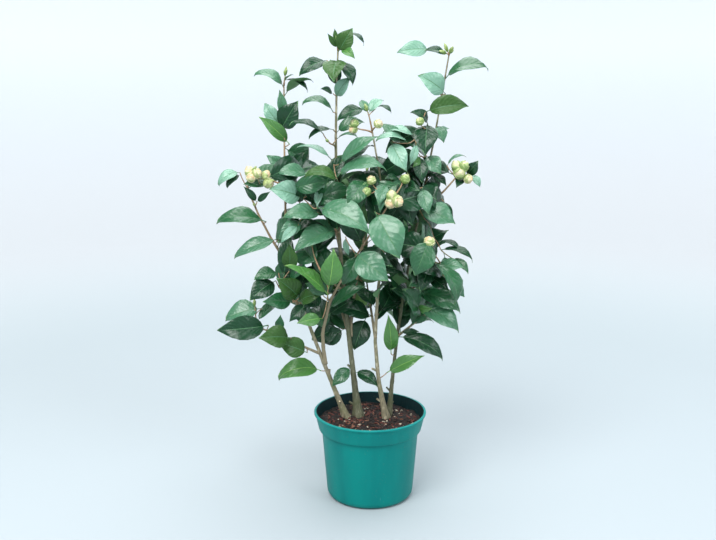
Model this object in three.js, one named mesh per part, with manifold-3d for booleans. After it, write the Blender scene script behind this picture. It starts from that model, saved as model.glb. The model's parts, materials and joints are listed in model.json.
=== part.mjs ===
// A camellia shrub in its own plastic pot, in millimetres with +Z up. The origin is the centre of the
// pot's flat underside, and the shrub's open, show side faces -Y.
//
// Four stems rise from the potting mix. Two of them fork, and boughs leave them on every side. The
// foliage is a set of separate uneven masses: each is threaded on the limb that carries it, or sits
// on the end of its bough, and keeps a hair's breadth of clearance all round.
import * as THREE from "three";
import { mergeVertices } from "three/addons/utils/BufferGeometryUtils.js";
import Module from "manifold-3d";

// ---- Driving dimensions -------------------------------------------------------------------------

const GAP = 0.35; // clearance between pieces that touch
const WELD = 1e-3; // corners of a skin nearer than this are one

const POT_HEIGHT = 177;
const POT_RIM_RADIUS = 113.5;
const POT_LIP_HEIGHT = 5; // the thin bead round the top
const POT_LIP_PROUD = 2.5; // how far the bead stands out of the band
const POT_BAND_HEIGHT = 36; // from the top of the pot to the shoulder under the band
const POT_BAND_TAPER = 7;
const POT_SHOULDER = 6; // how far the band stands out of the body
const POT_FOOT_RADIUS = 81;
const POT_FOOT_ROUND = 10;
const POT_WALL = 2.2;
const POT_SIDES = 28;
const FOOT_ARC_STEPS = 2;

const SOIL_DROP = 20; // from the rim down to the potting mix
const SOIL_LEVEL = POT_HEIGHT - SOIL_DROP;

const RING_STEP = 80; // length of limb between two rings of its skin
const STEM_SIDES = 8;
const BOUGH_SIDES = 5;
const FEWEST_SPANS = 3; // of a limb between its foot and its tip
const FLARE = 0.3; // extra girth where a stem meets the potting mix
const FLARE_LENGTH = 22;
const TANGENT_STEP = 0.01; // share of a limb looked ahead and back to find its heading
const STEEP = 0.8; // a limb that heads this much along Y turns its rings about X
const HALVING_STOP = 1e-6; // share of a limb at which the search for a height ends
const CROTCH_DROP = 95; // a rear bough leaves its stem this far below its own tip

const LOBE_DEPTH = 0.34; // how deep the hollows between the lobes of a mass are
const LOBE_SHARPNESS = 5;
const LOBES = 9;
const LOBE_DRIFT = 0.6; // how far a lobe strays from its even place, in radians round and in height
const LARGE_MASS = 70; // a mass that reaches further than this gets the finer skin
const COARSE_SKIN = 1;
const FINE_SKIN = 2;

// Stems: foot on the potting mix [x, y], tip [x, y, z], one long bow and one S-shaped sway sideways,
// and the radius at the foot and at the tip.
const STEMS = {
  stem_left: { foot: [-50, 18], tip: [-168, -6, 495], bow: [-4, 4], sway: [0, 0], radii: [7.5, 4.2] },
  stem_centre: { foot: [-24, 24], tip: [-62, 0, 885], bow: [-18, 4], sway: [2, 0], radii: [9.5, 2.6] },
  stem_right: { foot: [32, 12], tip: [2, -22, 738], bow: [0, -4], sway: [-14, 0], radii: [7, 2.6] },
  stem_rear: { foot: [40, 33], tip: [148, 24, 878], bow: [-8, 6], sway: [-4, 0], radii: [6.2, 2.4] },
};

// Forks and boughs: the limb that each one leaves, the height where it leaves, and the rest as above.
const BOUGHS = {
  fork_left: { from: "stem_left", at: 272, tip: [36, -75, 612], bow: [-34, 15], sway: [-8, 0], radii: [5, 2] },
  fork_centre: { from: "stem_centre", at: 325, tip: [-8, 62, 545], bow: [-2, 8], radii: [5, 3] },
  bough_left_arm: { from: "stem_left", at: 482, tip: [-233, -34, 630], bow: [-6, 0], radii: [3.6, 2.4] },
  bough_left_shoot: { from: "stem_left", at: 482, tip: [-168, 46, 822], bow: [-2, 10], radii: [3.8, 2] },
  bough_left_side: { from: "stem_left", at: 385, tip: [-178, -30, 440], radii: [3.2, 2.2] },
  bough_left_low: { from: "stem_left", at: 292, tip: [-218, -40, 362], radii: [3.4, 2.2] },
  bough_front: { from: "stem_centre", at: 420, tip: [-92, -60, 470], radii: [3.4, 2.2] },
  bough_right_low: { from: "stem_rear", at: 322, tip: [122, 10, 384], radii: [3.2, 2.2] },
  bough_right_side: { from: "stem_rear", at: 410, tip: [136, -14, 470], radii: [3.2, 2.2] },
  bough_right_arm: { from: "stem_rear", at: 575, tip: [162, -8, 648], bow: [4, 0], radii: [3.2, 2.2] },
};

// Foliage masses: the centre and how far each one reaches along x, y and z.
const MASSES = {
  leaves_leader_tip: { centre: [-53, 0, 899], reach: [30, 30, 27] },
  leaves_leader_top: { centre: [-78, 0, 837], reach: [54, 46, 34] },
  leaves_leader_side: { centre: [-108, -8, 765], reach: [46, 42, 36] },
  leaves_left_shoot_tip: { centre: [-168, 46, 830], reach: [54, 38, 22] },
  leaves_left_shoot: { centre: [-176, 46, 758], reach: [38, 38, 46] },
  leaves_left_shoot_foot: { centre: [-164, 36, 692], reach: [38, 34, 18] },
  leaves_right_tip: { centre: [135, 24, 868], reach: [84, 38, 40] },
  leaves_right_tip_side: { centre: [137, 24, 799], reach: [46, 40, 28] },
  leaves_right_tip_foot: { centre: [113, 24, 733], reach: [38, 42, 36] },
  leaves_centre_top: { centre: [-12, -20, 760], reach: [50, 42, 34] },
  leaves_centre_crown: { centre: [16, -12, 688], reach: [68, 58, 38] },
  leaves_right_crown: { centre: [112, 14, 652], reach: [44, 48, 44] },
  leaves_left_arm_tip: { centre: [-241, -34, 636], reach: [54, 38, 38] },
  leaves_left_arm: { centre: [-236, -28, 546], reach: [58, 38, 44] },
  leaves_left_crown: { centre: [-128, -6, 628], reach: [64, 62, 56] },
  leaves_left_middle: { centre: [-118, -24, 522], reach: [64, 62, 54] },
  leaves_centre_high: { centre: [-40, -44, 622], reach: [66, 58, 42] },
  leaves_front: { centre: [-14, -108, 545], reach: [72, 44, 74] },
  leaves_front_left: { centre: [-92, -74, 458], reach: [54, 48, 44] },
  leaves_right_arm_tip: { centre: [172, -8, 650], reach: [46, 44, 40] },
  leaves_right_front: { centre: [56, -40, 600], reach: [54, 56, 48] },
  leaves_right_middle: { centre: [118, -6, 556], reach: [58, 60, 50] },
  leaves_right_shoulder: { centre: [142, -14, 464], reach: [56, 60, 48] },
  leaves_right_low: { centre: [130, 10, 384], reach: [48, 52, 38] },
  leaves_left_side: { centre: [-178, -30, 438], reach: [56, 50, 40] },
  leaves_left_low: { centre: [-232, -42, 362], reach: [68, 48, 44] },
  leaves_left_low_front: { centre: [-150, -22, 322], reach: [36, 34, 30] },
  leaves_left_foot: { centre: [-130, 10, 266], reach: [50, 26, 18] },
  leaves_centre_low: { centre: [-56, 8, 410], reach: [46, 44, 34] },
  leaves_right_inner: { centre: [56, -34, 478], reach: [50, 52, 56] },
  leaves_right_spray: { centre: [88, 14, 302], reach: [54, 40, 42] },
  leaves_centre_foot: { centre: [-33, 18, 246], reach: [42, 32, 20] },
};

// The rear of the crown: on each tier one bough and one mass point left, straight back and right.
const REAR_TIERS = {
  low: { height: 428, spread: 108 },
  high: { height: 602, spread: 118 },
};
const REAR_SIDES = {
  left: { from: "stem_centre", bearing: -46 },
  middle: { from: "stem_right", bearing: -4 },
  right: { from: "stem_rear", bearing: 38 },
};
const REAR_REACH = [64, 58, 74];
const REAR_OVERHANG = 20; // the centre of a rear mass lies this far beyond the tip of its bough
const REAR_BOUGH_RADII = [3.8, 2.4];

// ---- Materials ----------------------------------------------------------------------------------

const potPlastic = new THREE.MeshStandardMaterial({ color: 0x158a82, roughness: 0.42, metalness: 0 });
const pottingMix = new THREE.MeshStandardMaterial({ color: 0x2f1c17, roughness: 0.95, metalness: 0 });
const bark = new THREE.MeshStandardMaterial({ color: 0x9a8468, roughness: 0.85, metalness: 0 });
const twigBark = new THREE.MeshStandardMaterial({ color: 0x8f6a4c, roughness: 0.8, metalness: 0 });
const foliage = new THREE.MeshStandardMaterial({ color: 0x1f5138, roughness: 0.4, metalness: 0 });

// ---- Solids -------------------------------------------------------------------------------------

const wasm = await Module();
wasm.setup();

const shrub = new THREE.Group();
const limbs = {}; // every stem, fork and bough by name
const fatTwins = []; // a twin of every limb and mass made so far, fatter by the clearance

/** A closed three.js geometry as a solid that can be cut. */
function solidFrom(geometry) {
  const bare = geometry.clone();
  bare.deleteAttribute("normal");
  bare.deleteAttribute("uv");
  const merged = mergeVertices(bare, WELD);
  const vertProperties = new Float32Array(merged.attributes.position.array);
  const triVerts = new Uint32Array(merged.index.array);
  return new wasm.Manifold(new wasm.Mesh({ numProp: 3, vertProperties, triVerts }));
}

/** A solid as a three.js geometry. */
function geometryFrom(solid) {
  const mesh = solid.getMesh();
  const geometry = new THREE.BufferGeometry();
  geometry.setAttribute("position", new THREE.BufferAttribute(mesh.vertProperties, 3));
  geometry.setIndex(new THREE.BufferAttribute(mesh.triVerts, 1));
  geometry.computeVertexNormals();
  return geometry;
}

/** Adds one named mesh to the shrub. */
function addMesh(name, geometry, material) {
  const mesh = new THREE.Mesh(geometry, material);
  mesh.name = name;
  shrub.add(mesh);
}

/** True when the boxes of two solids meet. */
function boxesMeet(one, other) {
  const a = one.boundingBox();
  const b = other.boundingBox();
  return [0, 1, 2].every((axis) => a.min[axis] <= b.max[axis] && b.min[axis] <= a.max[axis]);
}

/** The largest connected body of a solid. */
function largestBody(solid) {
  return solid.decompose().reduce((best, body) => (body.volume() > best.volume() ? body : best));
}

/** Adds a grown piece, cut back by the fatter twin of everything that it meets. */
function addGrowth(name, makeGeometry, material) {
  let solid = solidFrom(makeGeometry(0));
  for (const fatTwin of fatTwins) {
    if (boxesMeet(solid, fatTwin)) {
      solid = solid.subtract(fatTwin);
    }
  }
  addMesh(name, geometryFrom(largestBody(solid)), material);
  fatTwins.push(solidFrom(makeGeometry(GAP)));
}

// ---- Pot and potting mix ------------------------------------------------------------------------

/** The outer outline of the pot from the middle of its underside up to the rim, moved in by a wall. */
function potOutline(inset) {
  const shoulderHeight = POT_HEIGHT - POT_BAND_HEIGHT;
  const bandTop = POT_RIM_RADIUS - POT_LIP_PROUD;
  const bandFoot = bandTop - POT_BAND_TAPER;
  const outline = [new THREE.Vector2(0, inset)];
  for (let step = 0; step <= FOOT_ARC_STEPS; step += 1) {
    const angle = (Math.PI / 2) * (step / FOOT_ARC_STEPS);
    const radius = POT_FOOT_RADIUS + (POT_FOOT_ROUND - inset) * Math.sin(angle);
    const height = POT_FOOT_ROUND - (POT_FOOT_ROUND - inset) * Math.cos(angle);
    outline.push(new THREE.Vector2(radius, height));
  }
  outline.push(new THREE.Vector2(bandFoot - POT_SHOULDER - inset, shoulderHeight - 1 + inset));
  outline.push(new THREE.Vector2(bandFoot - inset, shoulderHeight + 1 + inset));
  outline.push(new THREE.Vector2(bandTop - inset, POT_HEIGHT - POT_LIP_HEIGHT));
  return outline;
}

/** The pot: one thin wall with a rounded foot, a stepped band and a beaded rim. */
function potGeometry() {
  const outside = potOutline(0);
  const inside = potOutline(POT_WALL).reverse();
  const lip = [
    new THREE.Vector2(POT_RIM_RADIUS, POT_HEIGHT - POT_LIP_HEIGHT + 1),
    new THREE.Vector2(POT_RIM_RADIUS, POT_HEIGHT - 1),
    new THREE.Vector2(POT_RIM_RADIUS - 1, POT_HEIGHT),
    new THREE.Vector2(POT_RIM_RADIUS - POT_LIP_PROUD - POT_WALL, POT_HEIGHT),
  ];
  return new THREE.LatheGeometry([...outside, ...lip, ...inside], POT_SIDES).rotateX(Math.PI / 2);
}

/** The potting mix: fills the pot up to its level, a hair clear of the wall. */
function soilGeometry() {
  const wall = potOutline(POT_WALL + GAP).filter((point) => point.y < SOIL_LEVEL);
  const below = wall[wall.length - 1];
  const above = potOutline(POT_WALL + GAP)[wall.length];
  const share = (SOIL_LEVEL - below.y) / (above.y - below.y);
  const edge = below.clone().lerp(above, share);
  const outline = [...wall, edge, new THREE.Vector2(0, SOIL_LEVEL)];
  return new THREE.LatheGeometry(outline, POT_SIDES).rotateX(Math.PI / 2);
}

// ---- Limbs --------------------------------------------------------------------------------------

/** A point on a limb's centre line, from 0 at its foot to 1 at its tip. */
function limbPoint(limb, along) {
  const point = limb.foot.clone().lerp(limb.tip, along);
  point.addScaledVector(limb.bow, Math.sin(Math.PI * along));
  return point.addScaledVector(limb.sway, Math.sin(2 * Math.PI * along));
}

/** The point on a limb's centre line that lies at a height. */
function limbPointAtHeight(limb, height) {
  let low = 0;
  let high = 1;
  while (high - low > HALVING_STOP) {
    const middle = (low + high) / 2;
    if (limbPoint(limb, middle).z < height) {
      low = middle;
    } else {
      high = middle;
    }
  }
  return limbPoint(limb, low);
}

/** The radius of a limb: an even taper, with a flare where a stem leaves the potting mix. */
function limbRadius(limb, along) {
  const taper = THREE.MathUtils.lerp(limb.radii[0], limb.radii[1], along);
  if (!limb.rooted) {
    return taper;
  }
  const rise = along * limb.foot.distanceTo(limb.tip);
  return taper * (1 + FLARE * Math.exp(-rise / FLARE_LENGTH));
}

/** The places of a limb's rings: even, with extra ones in the flare of a stem. */
function ringPlaces(limb) {
  const length = limb.foot.distanceTo(limb.tip);
  const count = Math.max(FEWEST_SPANS, Math.round(length / RING_STEP));
  const places = Array.from({ length: count + 1 }, (_, index) => index / count);
  if (limb.rooted) {
    places.splice(1, 0, FLARE_LENGTH / 2 / length, FLARE_LENGTH / length);
  }
  return places;
}

/** A limb's skin: rings across its centre line, the foot of a stem cut level, both ends closed. */
function limbGeometry(limb, grow) {
  const places = ringPlaces(limb);
  const positions = [];
  const faces = [];
  const up = new THREE.Vector3(0, 0, 1);
  const heading = limb.tip.clone().sub(limb.foot).normalize();
  const reference = new THREE.Vector3(0, 1, 0);
  if (Math.abs(heading.y) > STEEP) {
    reference.set(1, 0, 0);
  }
  for (const along of places) {
    const behind = limbPoint(limb, along - TANGENT_STEP);
    const ahead = limbPoint(limb, along + TANGENT_STEP).sub(behind).normalize();
    const normal = limb.rooted && along === 0 ? up : ahead;
    const side = new THREE.Vector3().crossVectors(normal, reference).normalize();
    const over = new THREE.Vector3().crossVectors(side, normal);
    const radius = limbRadius(limb, along) + grow;
    const endwise = { 0: -grow, 1: grow }[along] ?? 0;
    for (let corner = 0; corner < limb.sides; corner += 1) {
      const angle = (2 * Math.PI * corner) / limb.sides;
      const point = limbPoint(limb, along);
      point.addScaledVector(side, radius * Math.cos(angle));
      point.addScaledVector(over, -radius * Math.sin(angle));
      point.addScaledVector(normal, endwise);
      positions.push(...point.toArray());
    }
  }
  for (let ring = 0; ring < places.length - 1; ring += 1) {
    for (let corner = 0; corner < limb.sides; corner += 1) {
      const next = (corner + 1) % limb.sides;
      const low = ring * limb.sides;
      const high = low + limb.sides;
      faces.push(low + corner, low + next, high + next, low + corner, high + next, high + corner);
    }
  }
  const last = (places.length - 1) * limb.sides;
  for (let corner = 1; corner < limb.sides - 1; corner += 1) {
    faces.push(0, corner + 1, corner, last, last + corner, last + corner + 1);
  }
  const geometry = new THREE.BufferGeometry();
  geometry.setAttribute("position", new THREE.Float32BufferAttribute(positions, 3));
  geometry.setIndex(faces);
  return geometry;
}

/** Builds a limb from its named sizes and adds it to the shrub. */
function addLimb(name, sizes, foot, rooted) {
  const limb = {
    rooted,
    foot,
    tip: new THREE.Vector3(...sizes.tip),
    bow: new THREE.Vector3(...(sizes.bow ?? [0, 0]), 0),
    sway: new THREE.Vector3(...(sizes.sway ?? [0, 0]), 0),
    radii: sizes.radii,
    sides: rooted ? STEM_SIDES : BOUGH_SIDES,
  };
  limbs[name] = limb;
  addGrowth(name, (grow) => limbGeometry(limb, grow), rooted ? bark : twigBark);
}

/** Adds a fork or bough that starts on the centre line of the limb that carries it. */
function addBough(name, sizes) {
  addLimb(name, sizes, limbPointAtHeight(limbs[sizes.from], sizes.at), false);
}

// ---- Foliage ------------------------------------------------------------------------------------

/** A repeatable series of numbers from 0 to 1 for one mass. */
function seededRandom(seed) {
  let state = seed * 2654435761;
  return () => {
    state = (state * 1664525 + 1013904223) % 4294967296;
    return state / 4294967296;
  };
}

/** The directions of a mass's lobes: spread by the golden angle, each one shifted a little. */
function lobeDirections(random) {
  const goldenAngle = Math.PI * (3 - Math.sqrt(5));
  return Array.from({ length: LOBES }, (_, index) => {
    const height = 1 - (2 * index + 1) / LOBES;
    const bearing = goldenAngle * index + random() * 2 * LOBE_DRIFT;
    const direction = new THREE.Vector3(Math.cos(bearing), Math.sin(bearing), 0);
    direction.multiplyScalar(Math.sqrt(1 - height * height));
    return direction.setZ(height + (random() - 0.5) * LOBE_DRIFT).normalize();
  });
}

/** An uneven, lobed mass that reaches exactly as far along each axis as its sizes say. */
function massGeometry(mass, seed, grow) {
  const lobes = lobeDirections(seededRandom(seed));
  const fineness = Math.max(...mass.reach) > LARGE_MASS ? FINE_SKIN : COARSE_SKIN;
  const ball = new THREE.IcosahedronGeometry(1, fineness);
  const place = ball.attributes.position;
  const direction = new THREE.Vector3();
  for (let index = 0; index < place.count; index += 1) {
    direction.fromBufferAttribute(place, index).normalize();
    const nearest = Math.max(...lobes.map((lobe) => lobe.dot(direction)));
    const swell = 1 - LOBE_DEPTH + LOBE_DEPTH * Math.exp(LOBE_SHARPNESS * (nearest - 1));
    place.setXYZ(index, direction.x * swell, direction.y * swell, direction.z * swell);
  }
  ball.computeBoundingBox();
  const box = ball.boundingBox;
  const middle = box.getCenter(new THREE.Vector3());
  const half = box.getSize(new THREE.Vector3()).multiplyScalar(0.5);
  ball.translate(-middle.x, -middle.y, -middle.z);
  ball.scale(...mass.reach.map((reach, axis) => (reach + grow) / half.getComponent(axis)));
  return ball.translate(...mass.centre);
}

/** Adds every foliage mass, each one with its own seed. */
function addMasses(masses) {
  Object.entries(masses).forEach(([name, mass], index) => {
    addGrowth(name, (grow) => massGeometry(mass, index + 1, grow), foliage);
  });
}

/** The rear boughs and masses, tier by tier. */
function rearGrowth() {
  const boughs = {};
  const masses = {};
  for (const [tier, { height, spread }] of Object.entries(REAR_TIERS)) {
    for (const [side, { from, bearing }] of Object.entries(REAR_SIDES)) {
      const angle = THREE.MathUtils.degToRad(bearing);
      const out = [Math.sin(angle), Math.cos(angle)];
      const tip = [...out.map((share) => share * spread), height];
      const centre = [...out.map((share) => share * (spread + REAR_OVERHANG)), height];
      boughs[`bough_rear_${side}_${tier}`] = { from, at: height - CROTCH_DROP, tip, radii: REAR_BOUGH_RADII };
      masses[`leaves_rear_${side}_${tier}`] = { centre, reach: REAR_REACH };
    }
  }
  return { boughs, masses };
}

// ---- The shrub ----------------------------------------------------------------------------------

addMesh("pot", potGeometry(), potPlastic);
addMesh("soil", soilGeometry(), pottingMix);

for (const [name, sizes] of Object.entries(STEMS)) {
  addLimb(name, sizes, new THREE.Vector3(...sizes.foot, SOIL_LEVEL + GAP), true);
}
const rear = rearGrowth();
for (const [name, sizes] of Object.entries({ ...BOUGHS, ...rear.boughs })) {
  addBough(name, sizes);
}
addMasses({ ...MASSES, ...rear.masses });

export default shrub;
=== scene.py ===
"""The looks of a potted camellia shrub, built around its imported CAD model.

Bark with relief replaces each stem, fork and bough. Twigs, leaves and buds grow on from those limbs
by a seeded rule and replace the foliage masses. All lengths are in metres, +Z is up, and the side
that a visitor sees first faces -Y.
"""

import json
import logging
import math
import random
from collections.abc import Iterable, Sequence
from dataclasses import dataclass, field, replace
from enum import Enum

import bpy
import numpy as np
from mathutils import Matrix, Quaternion, Vector, noise

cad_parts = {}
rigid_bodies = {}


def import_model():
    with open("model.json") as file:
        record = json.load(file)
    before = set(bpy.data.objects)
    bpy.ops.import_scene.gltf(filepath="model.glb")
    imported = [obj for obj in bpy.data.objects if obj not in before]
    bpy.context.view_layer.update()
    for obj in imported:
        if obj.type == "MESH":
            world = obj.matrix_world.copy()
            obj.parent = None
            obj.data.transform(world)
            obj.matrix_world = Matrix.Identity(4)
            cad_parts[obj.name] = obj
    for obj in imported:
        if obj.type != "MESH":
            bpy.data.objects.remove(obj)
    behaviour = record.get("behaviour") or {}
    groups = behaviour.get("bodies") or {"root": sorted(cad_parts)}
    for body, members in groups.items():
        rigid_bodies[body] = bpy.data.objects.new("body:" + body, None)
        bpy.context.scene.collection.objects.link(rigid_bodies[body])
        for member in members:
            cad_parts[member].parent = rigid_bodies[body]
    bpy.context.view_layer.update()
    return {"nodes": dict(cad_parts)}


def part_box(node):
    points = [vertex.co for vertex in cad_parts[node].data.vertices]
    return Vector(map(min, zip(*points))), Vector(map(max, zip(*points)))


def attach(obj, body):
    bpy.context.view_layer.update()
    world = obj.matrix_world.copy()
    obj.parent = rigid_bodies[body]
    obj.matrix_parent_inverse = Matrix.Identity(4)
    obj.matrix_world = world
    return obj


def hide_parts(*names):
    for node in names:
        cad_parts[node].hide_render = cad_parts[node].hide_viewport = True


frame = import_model()

LOG = logging.getLogger("shrub")
BODY = "root"
SEED = 5
UP = np.array((0.0, 0.0, 1.0))
FRONT = np.array((0.0, -1.0, 0.0))
TINY = 1e-9
ALONG_Y = 0.9
GOLDEN_ANGLE = math.pi * (3 - math.sqrt(5))

Colour = tuple[float, float, float, float]
Triple = tuple[float, float, float]


def colour(red: float, green: float, blue: float) -> Colour:
    """Turns a paint chart's colour into a shader's.

    Args:
        red: The chart's red, from 0 to 255.
        green: Its green.
        blue: Its blue.

    Returns:
        The linear colour, opaque.
    """
    chart = np.array((red, green, blue)) / 255
    linear = np.where(chart <= 0.04045, chart / 12.92, ((chart + 0.055) / 1.055) ** 2.4)
    return (*(float(share) for share in linear), 1.0)


def unit(vector: np.ndarray) -> np.ndarray:
    """The vector at a length of one."""
    return vector / max(float(np.linalg.norm(vector)), TINY)


def any_vector(dice: random.Random) -> np.ndarray:
    """A vector that points anywhere."""
    return np.array([dice.gauss(0, 1) for _ in range(3)])


# ---- Node trees ----


class Wire:
    """The output of a node, which takes part in Python sums."""

    def __init__(self, bench: "Bench", socket: bpy.types.NodeSocket) -> None:
        """Remembers the tree's bench and the output socket."""
        self.bench = bench
        self.socket = socket

    def _sum(self, operation: str, first: "Wire | float", second: "Wire | float") -> "Wire":
        """Adds one Math node to the tree."""
        return self.bench.wire("ShaderNodeMath", {"operation": operation}, {0: first, 1: second})

    def __add__(self, other: "Wire | float") -> "Wire":
        """This value plus the other."""
        return self._sum("ADD", self, other)

    def __sub__(self, other: "Wire | float") -> "Wire":
        """This value less the other."""
        return self._sum("SUBTRACT", self, other)

    def __rsub__(self, other: "Wire | float") -> "Wire":
        """The other value less this one."""
        return self._sum("SUBTRACT", other, self)

    def __mul__(self, other: "Wire | float") -> "Wire":
        """This value times the other."""
        return self._sum("MULTIPLY", self, other)

    __radd__ = __add__
    __rmul__ = __mul__

    def __abs__(self) -> "Wire":
        """This value without its sign."""
        return self._sum("ABSOLUTE", self, 0.0)

    def wave(self) -> "Wire":
        """The height of a row of rounded humps, one for each whole number."""
        return abs(self._sum("SINE", self * math.pi, 0.0))

    def between(self, low: float, high: float) -> "Wire":
        """A smooth step.

        Args:
            low: The value at and below which the step is 0.
            high: The value at and above which it is 1.

        Returns:
            The height of the step.
        """
        settings = {"interpolation_type": "SMOOTHSTEP"}
        return self.bench.wire("ShaderNodeMapRange", settings, {0: self, 1: low, 2: high})


class Bench:
    """Builds one node tree, of a material or of Geometry Nodes."""

    def __init__(self, tree: bpy.types.NodeTree) -> None:
        """Takes the tree to build."""
        self.tree = tree

    def node(self, kind: str, settings: dict | None = None, values: dict | None = None) -> bpy.types.Node:
        """Adds a node.

        Args:
            kind: The node's type.
            settings: Its properties, which are set before its inputs.
            values: A number, colour or wire for each of its inputs, by name or by index.

        Returns:
            The new node.
        """
        made = self.tree.nodes.new(kind)
        for name, setting in (settings or {}).items():
            setattr(made, name, setting)
        for key, value in (values or {}).items():
            if isinstance(value, Wire):
                self.tree.links.new(value.socket, made.inputs[key])
            else:
                made.inputs[key].default_value = value
        return made

    def wire(
        self, kind: str, settings: dict | None = None, values: dict | None = None, output: int | str = 0
    ) -> Wire:
        """Adds a node and returns one of its outputs."""
        return Wire(self, self.node(kind, settings, values).outputs[output])

    def axes(self, place: Wire) -> list[Wire]:
        """The X, Y and Z of a place."""
        split = self.node("ShaderNodeSeparateXYZ", None, {0: place})
        return [Wire(self, output) for output in split.outputs]

    def mix(self, share: Wire | float, first: Wire | Colour, second: Wire | Colour) -> Wire:
        """A colour that goes from the first to the second as the share goes from 0 to 1."""
        return self.wire("ShaderNodeMix", {"data_type": "RGBA"}, {0: share, 6: first, 7: second}, 2)

    def layers(self, ground: Colour, *layers: tuple[Wire, Colour]) -> Wire:
        """Lays colours over a ground, in turn.

        Args:
            ground: The colour that lies lowest.
            layers: How strong each layer is from place to place, and its colour.

        Returns:
            The colour that shows.
        """
        shade = ground
        for share, layer in layers:
            shade = self.mix(share, shade, layer)
        return shade

    def bump(self, height: Wire, distance: float) -> Wire:
        """A normal that follows a height of so many metres."""
        return self.wire("ShaderNodeBump", None, {"Height": height, "Distance": distance})

    def object_place(self) -> Wire:
        """Where a point lies on its piece."""
        return self.wire("ShaderNodeTexCoord", output="Object")


@dataclass(frozen=True)
class Grain:
    """A cloudy pattern, and the marks that its brighter clouds leave on a surface.

    Attributes:
        scale: One over the size of a cloud.
        detail: How many layers of finer clouds it has.
        stretch: Its scale along each axis. A small one draws the clouds out that way.
        low: The value up to which a cloud leaves no mark.
        high: The value from which its mark is full.
        share: How strong a full mark is, from 0 to 1.
    """

    scale: float
    detail: float = 3.0
    stretch: Triple | None = None
    low: float = 0.0
    high: float = 1.0
    share: float = 1.0

    def clouds(self, where: Wire) -> Wire:
        """Adds the pattern to a tree.

        Args:
            where: The coordinates that it lies on.

        Returns:
            Its values, which lie about a half.
        """
        if self.stretch is not None:
            where = where.bench.wire("ShaderNodeMapping", None, {"Vector": where, "Scale": self.stretch})
        values = {"Vector": where, "Scale": self.scale, "Detail": self.detail}
        return where.bench.wire("ShaderNodeTexNoise", None, values)

    def marks(self, clouds: Wire) -> Wire:
        """How strong the mark of each cloud is."""
        step = clouds.between(self.low, self.high)
        return step if self.share == 1.0 else step * self.share


# ---- Finishes ----


class Finish:
    """What every finish has: it makes a material of the inputs that it gives its shader."""

    name: str

    def inputs(self, bench: Bench) -> dict[str, object]:
        """The inputs of the finish's Principled shader, by name."""
        raise NotImplementedError

    def material(self) -> bpy.types.Material:
        """Builds the finish.

        Returns:
            The material.
        """
        material = bpy.data.materials.new(self.name)
        material.use_nodes = True
        material.node_tree.nodes.clear()
        bench = Bench(material.node_tree)
        shader = bench.wire("ShaderNodeBsdfPrincipled", None, self.inputs(bench))
        bench.node("ShaderNodeOutputMaterial", None, {"Surface": shader})
        return material


@dataclass(frozen=True)
class BladeFinish(Finish):
    """The glossy upper side of a leaf, quilted between its side veins.

    Attributes:
        name: What the finish is called.
        shade: Its colour.
        roughness: How far it spreads a reflection.
        coat: How strong the wax over it is.
        gloss: How strong its own reflection is.
        coat_roughness: How far the wax spreads a reflection.
        quilting: Height of the cushions between the side veins.
        swell: Height of the broad swells of the blade.
        veins: How many side veins it has on each side.
        vein_slant: How far a side vein runs towards the tip, as a share of the leaf's length.
    """

    name: str
    shade: Colour
    roughness: float = 0.34
    coat: float = 0.4
    gloss: float = 0.45
    coat_roughness: float = 0.2
    quilting: float = 0.0009
    swell: float = 0.003
    veins: int = 8
    vein_slant: float = 0.34

    SWELLS = Grain(55.0, 2.0)
    BREAKS = Grain(90.0, 1.0)

    def inputs(self, bench: Bench) -> dict[str, object]:
        """Draws the veins on the leaf's own sheet of coordinates.

        Args:
            bench: The bench for the material's tree.

        Returns:
            The shader's inputs.
        """
        along, across, _ = bench.axes(bench.wire("ShaderNodeUVMap", {"uv_map": SHEET}))
        from_rib = abs(across * 2.0 - 1.0)
        cushions = ((along - from_rib * self.vein_slant) * float(self.veins)).wave()
        where = bench.object_place()
        swells = self.SWELLS.clouds(where)
        height = cushions * self.BREAKS.clouds(where) * self.quilting + swells * self.swell
        return {
            "Base Color": self.shade,
            "Roughness": self.roughness,
            "Specular IOR Level": self.gloss,
            "Coat Weight": self.coat,
            "Coat Roughness": self.coat_roughness,
            "Normal": bench.bump(height, 1.0),
        }


@dataclass(frozen=True)
class SoftFinish(Finish):
    """A plain surface with a fine grain: a leaf's underside or rib, a bud's scale, or cut wood.

    Attributes:
        name: What the finish is called.
        shade: Its colour.
        roughness: How far it spreads a reflection.
        grain: Size of its grain.
        relief: Height of its grain.
    """

    name: str
    shade: Colour
    roughness: float = 0.55
    grain: float = 0.0025
    relief: float = 0.0002

    def inputs(self, bench: Bench) -> dict[str, object]:
        """The plain colour, and the grain as a bump."""
        normal = bench.bump(Grain(1 / self.grain).clouds(bench.object_place()), self.relief)
        return {"Base Color": self.shade, "Roughness": self.roughness, "Normal": normal}


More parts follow.
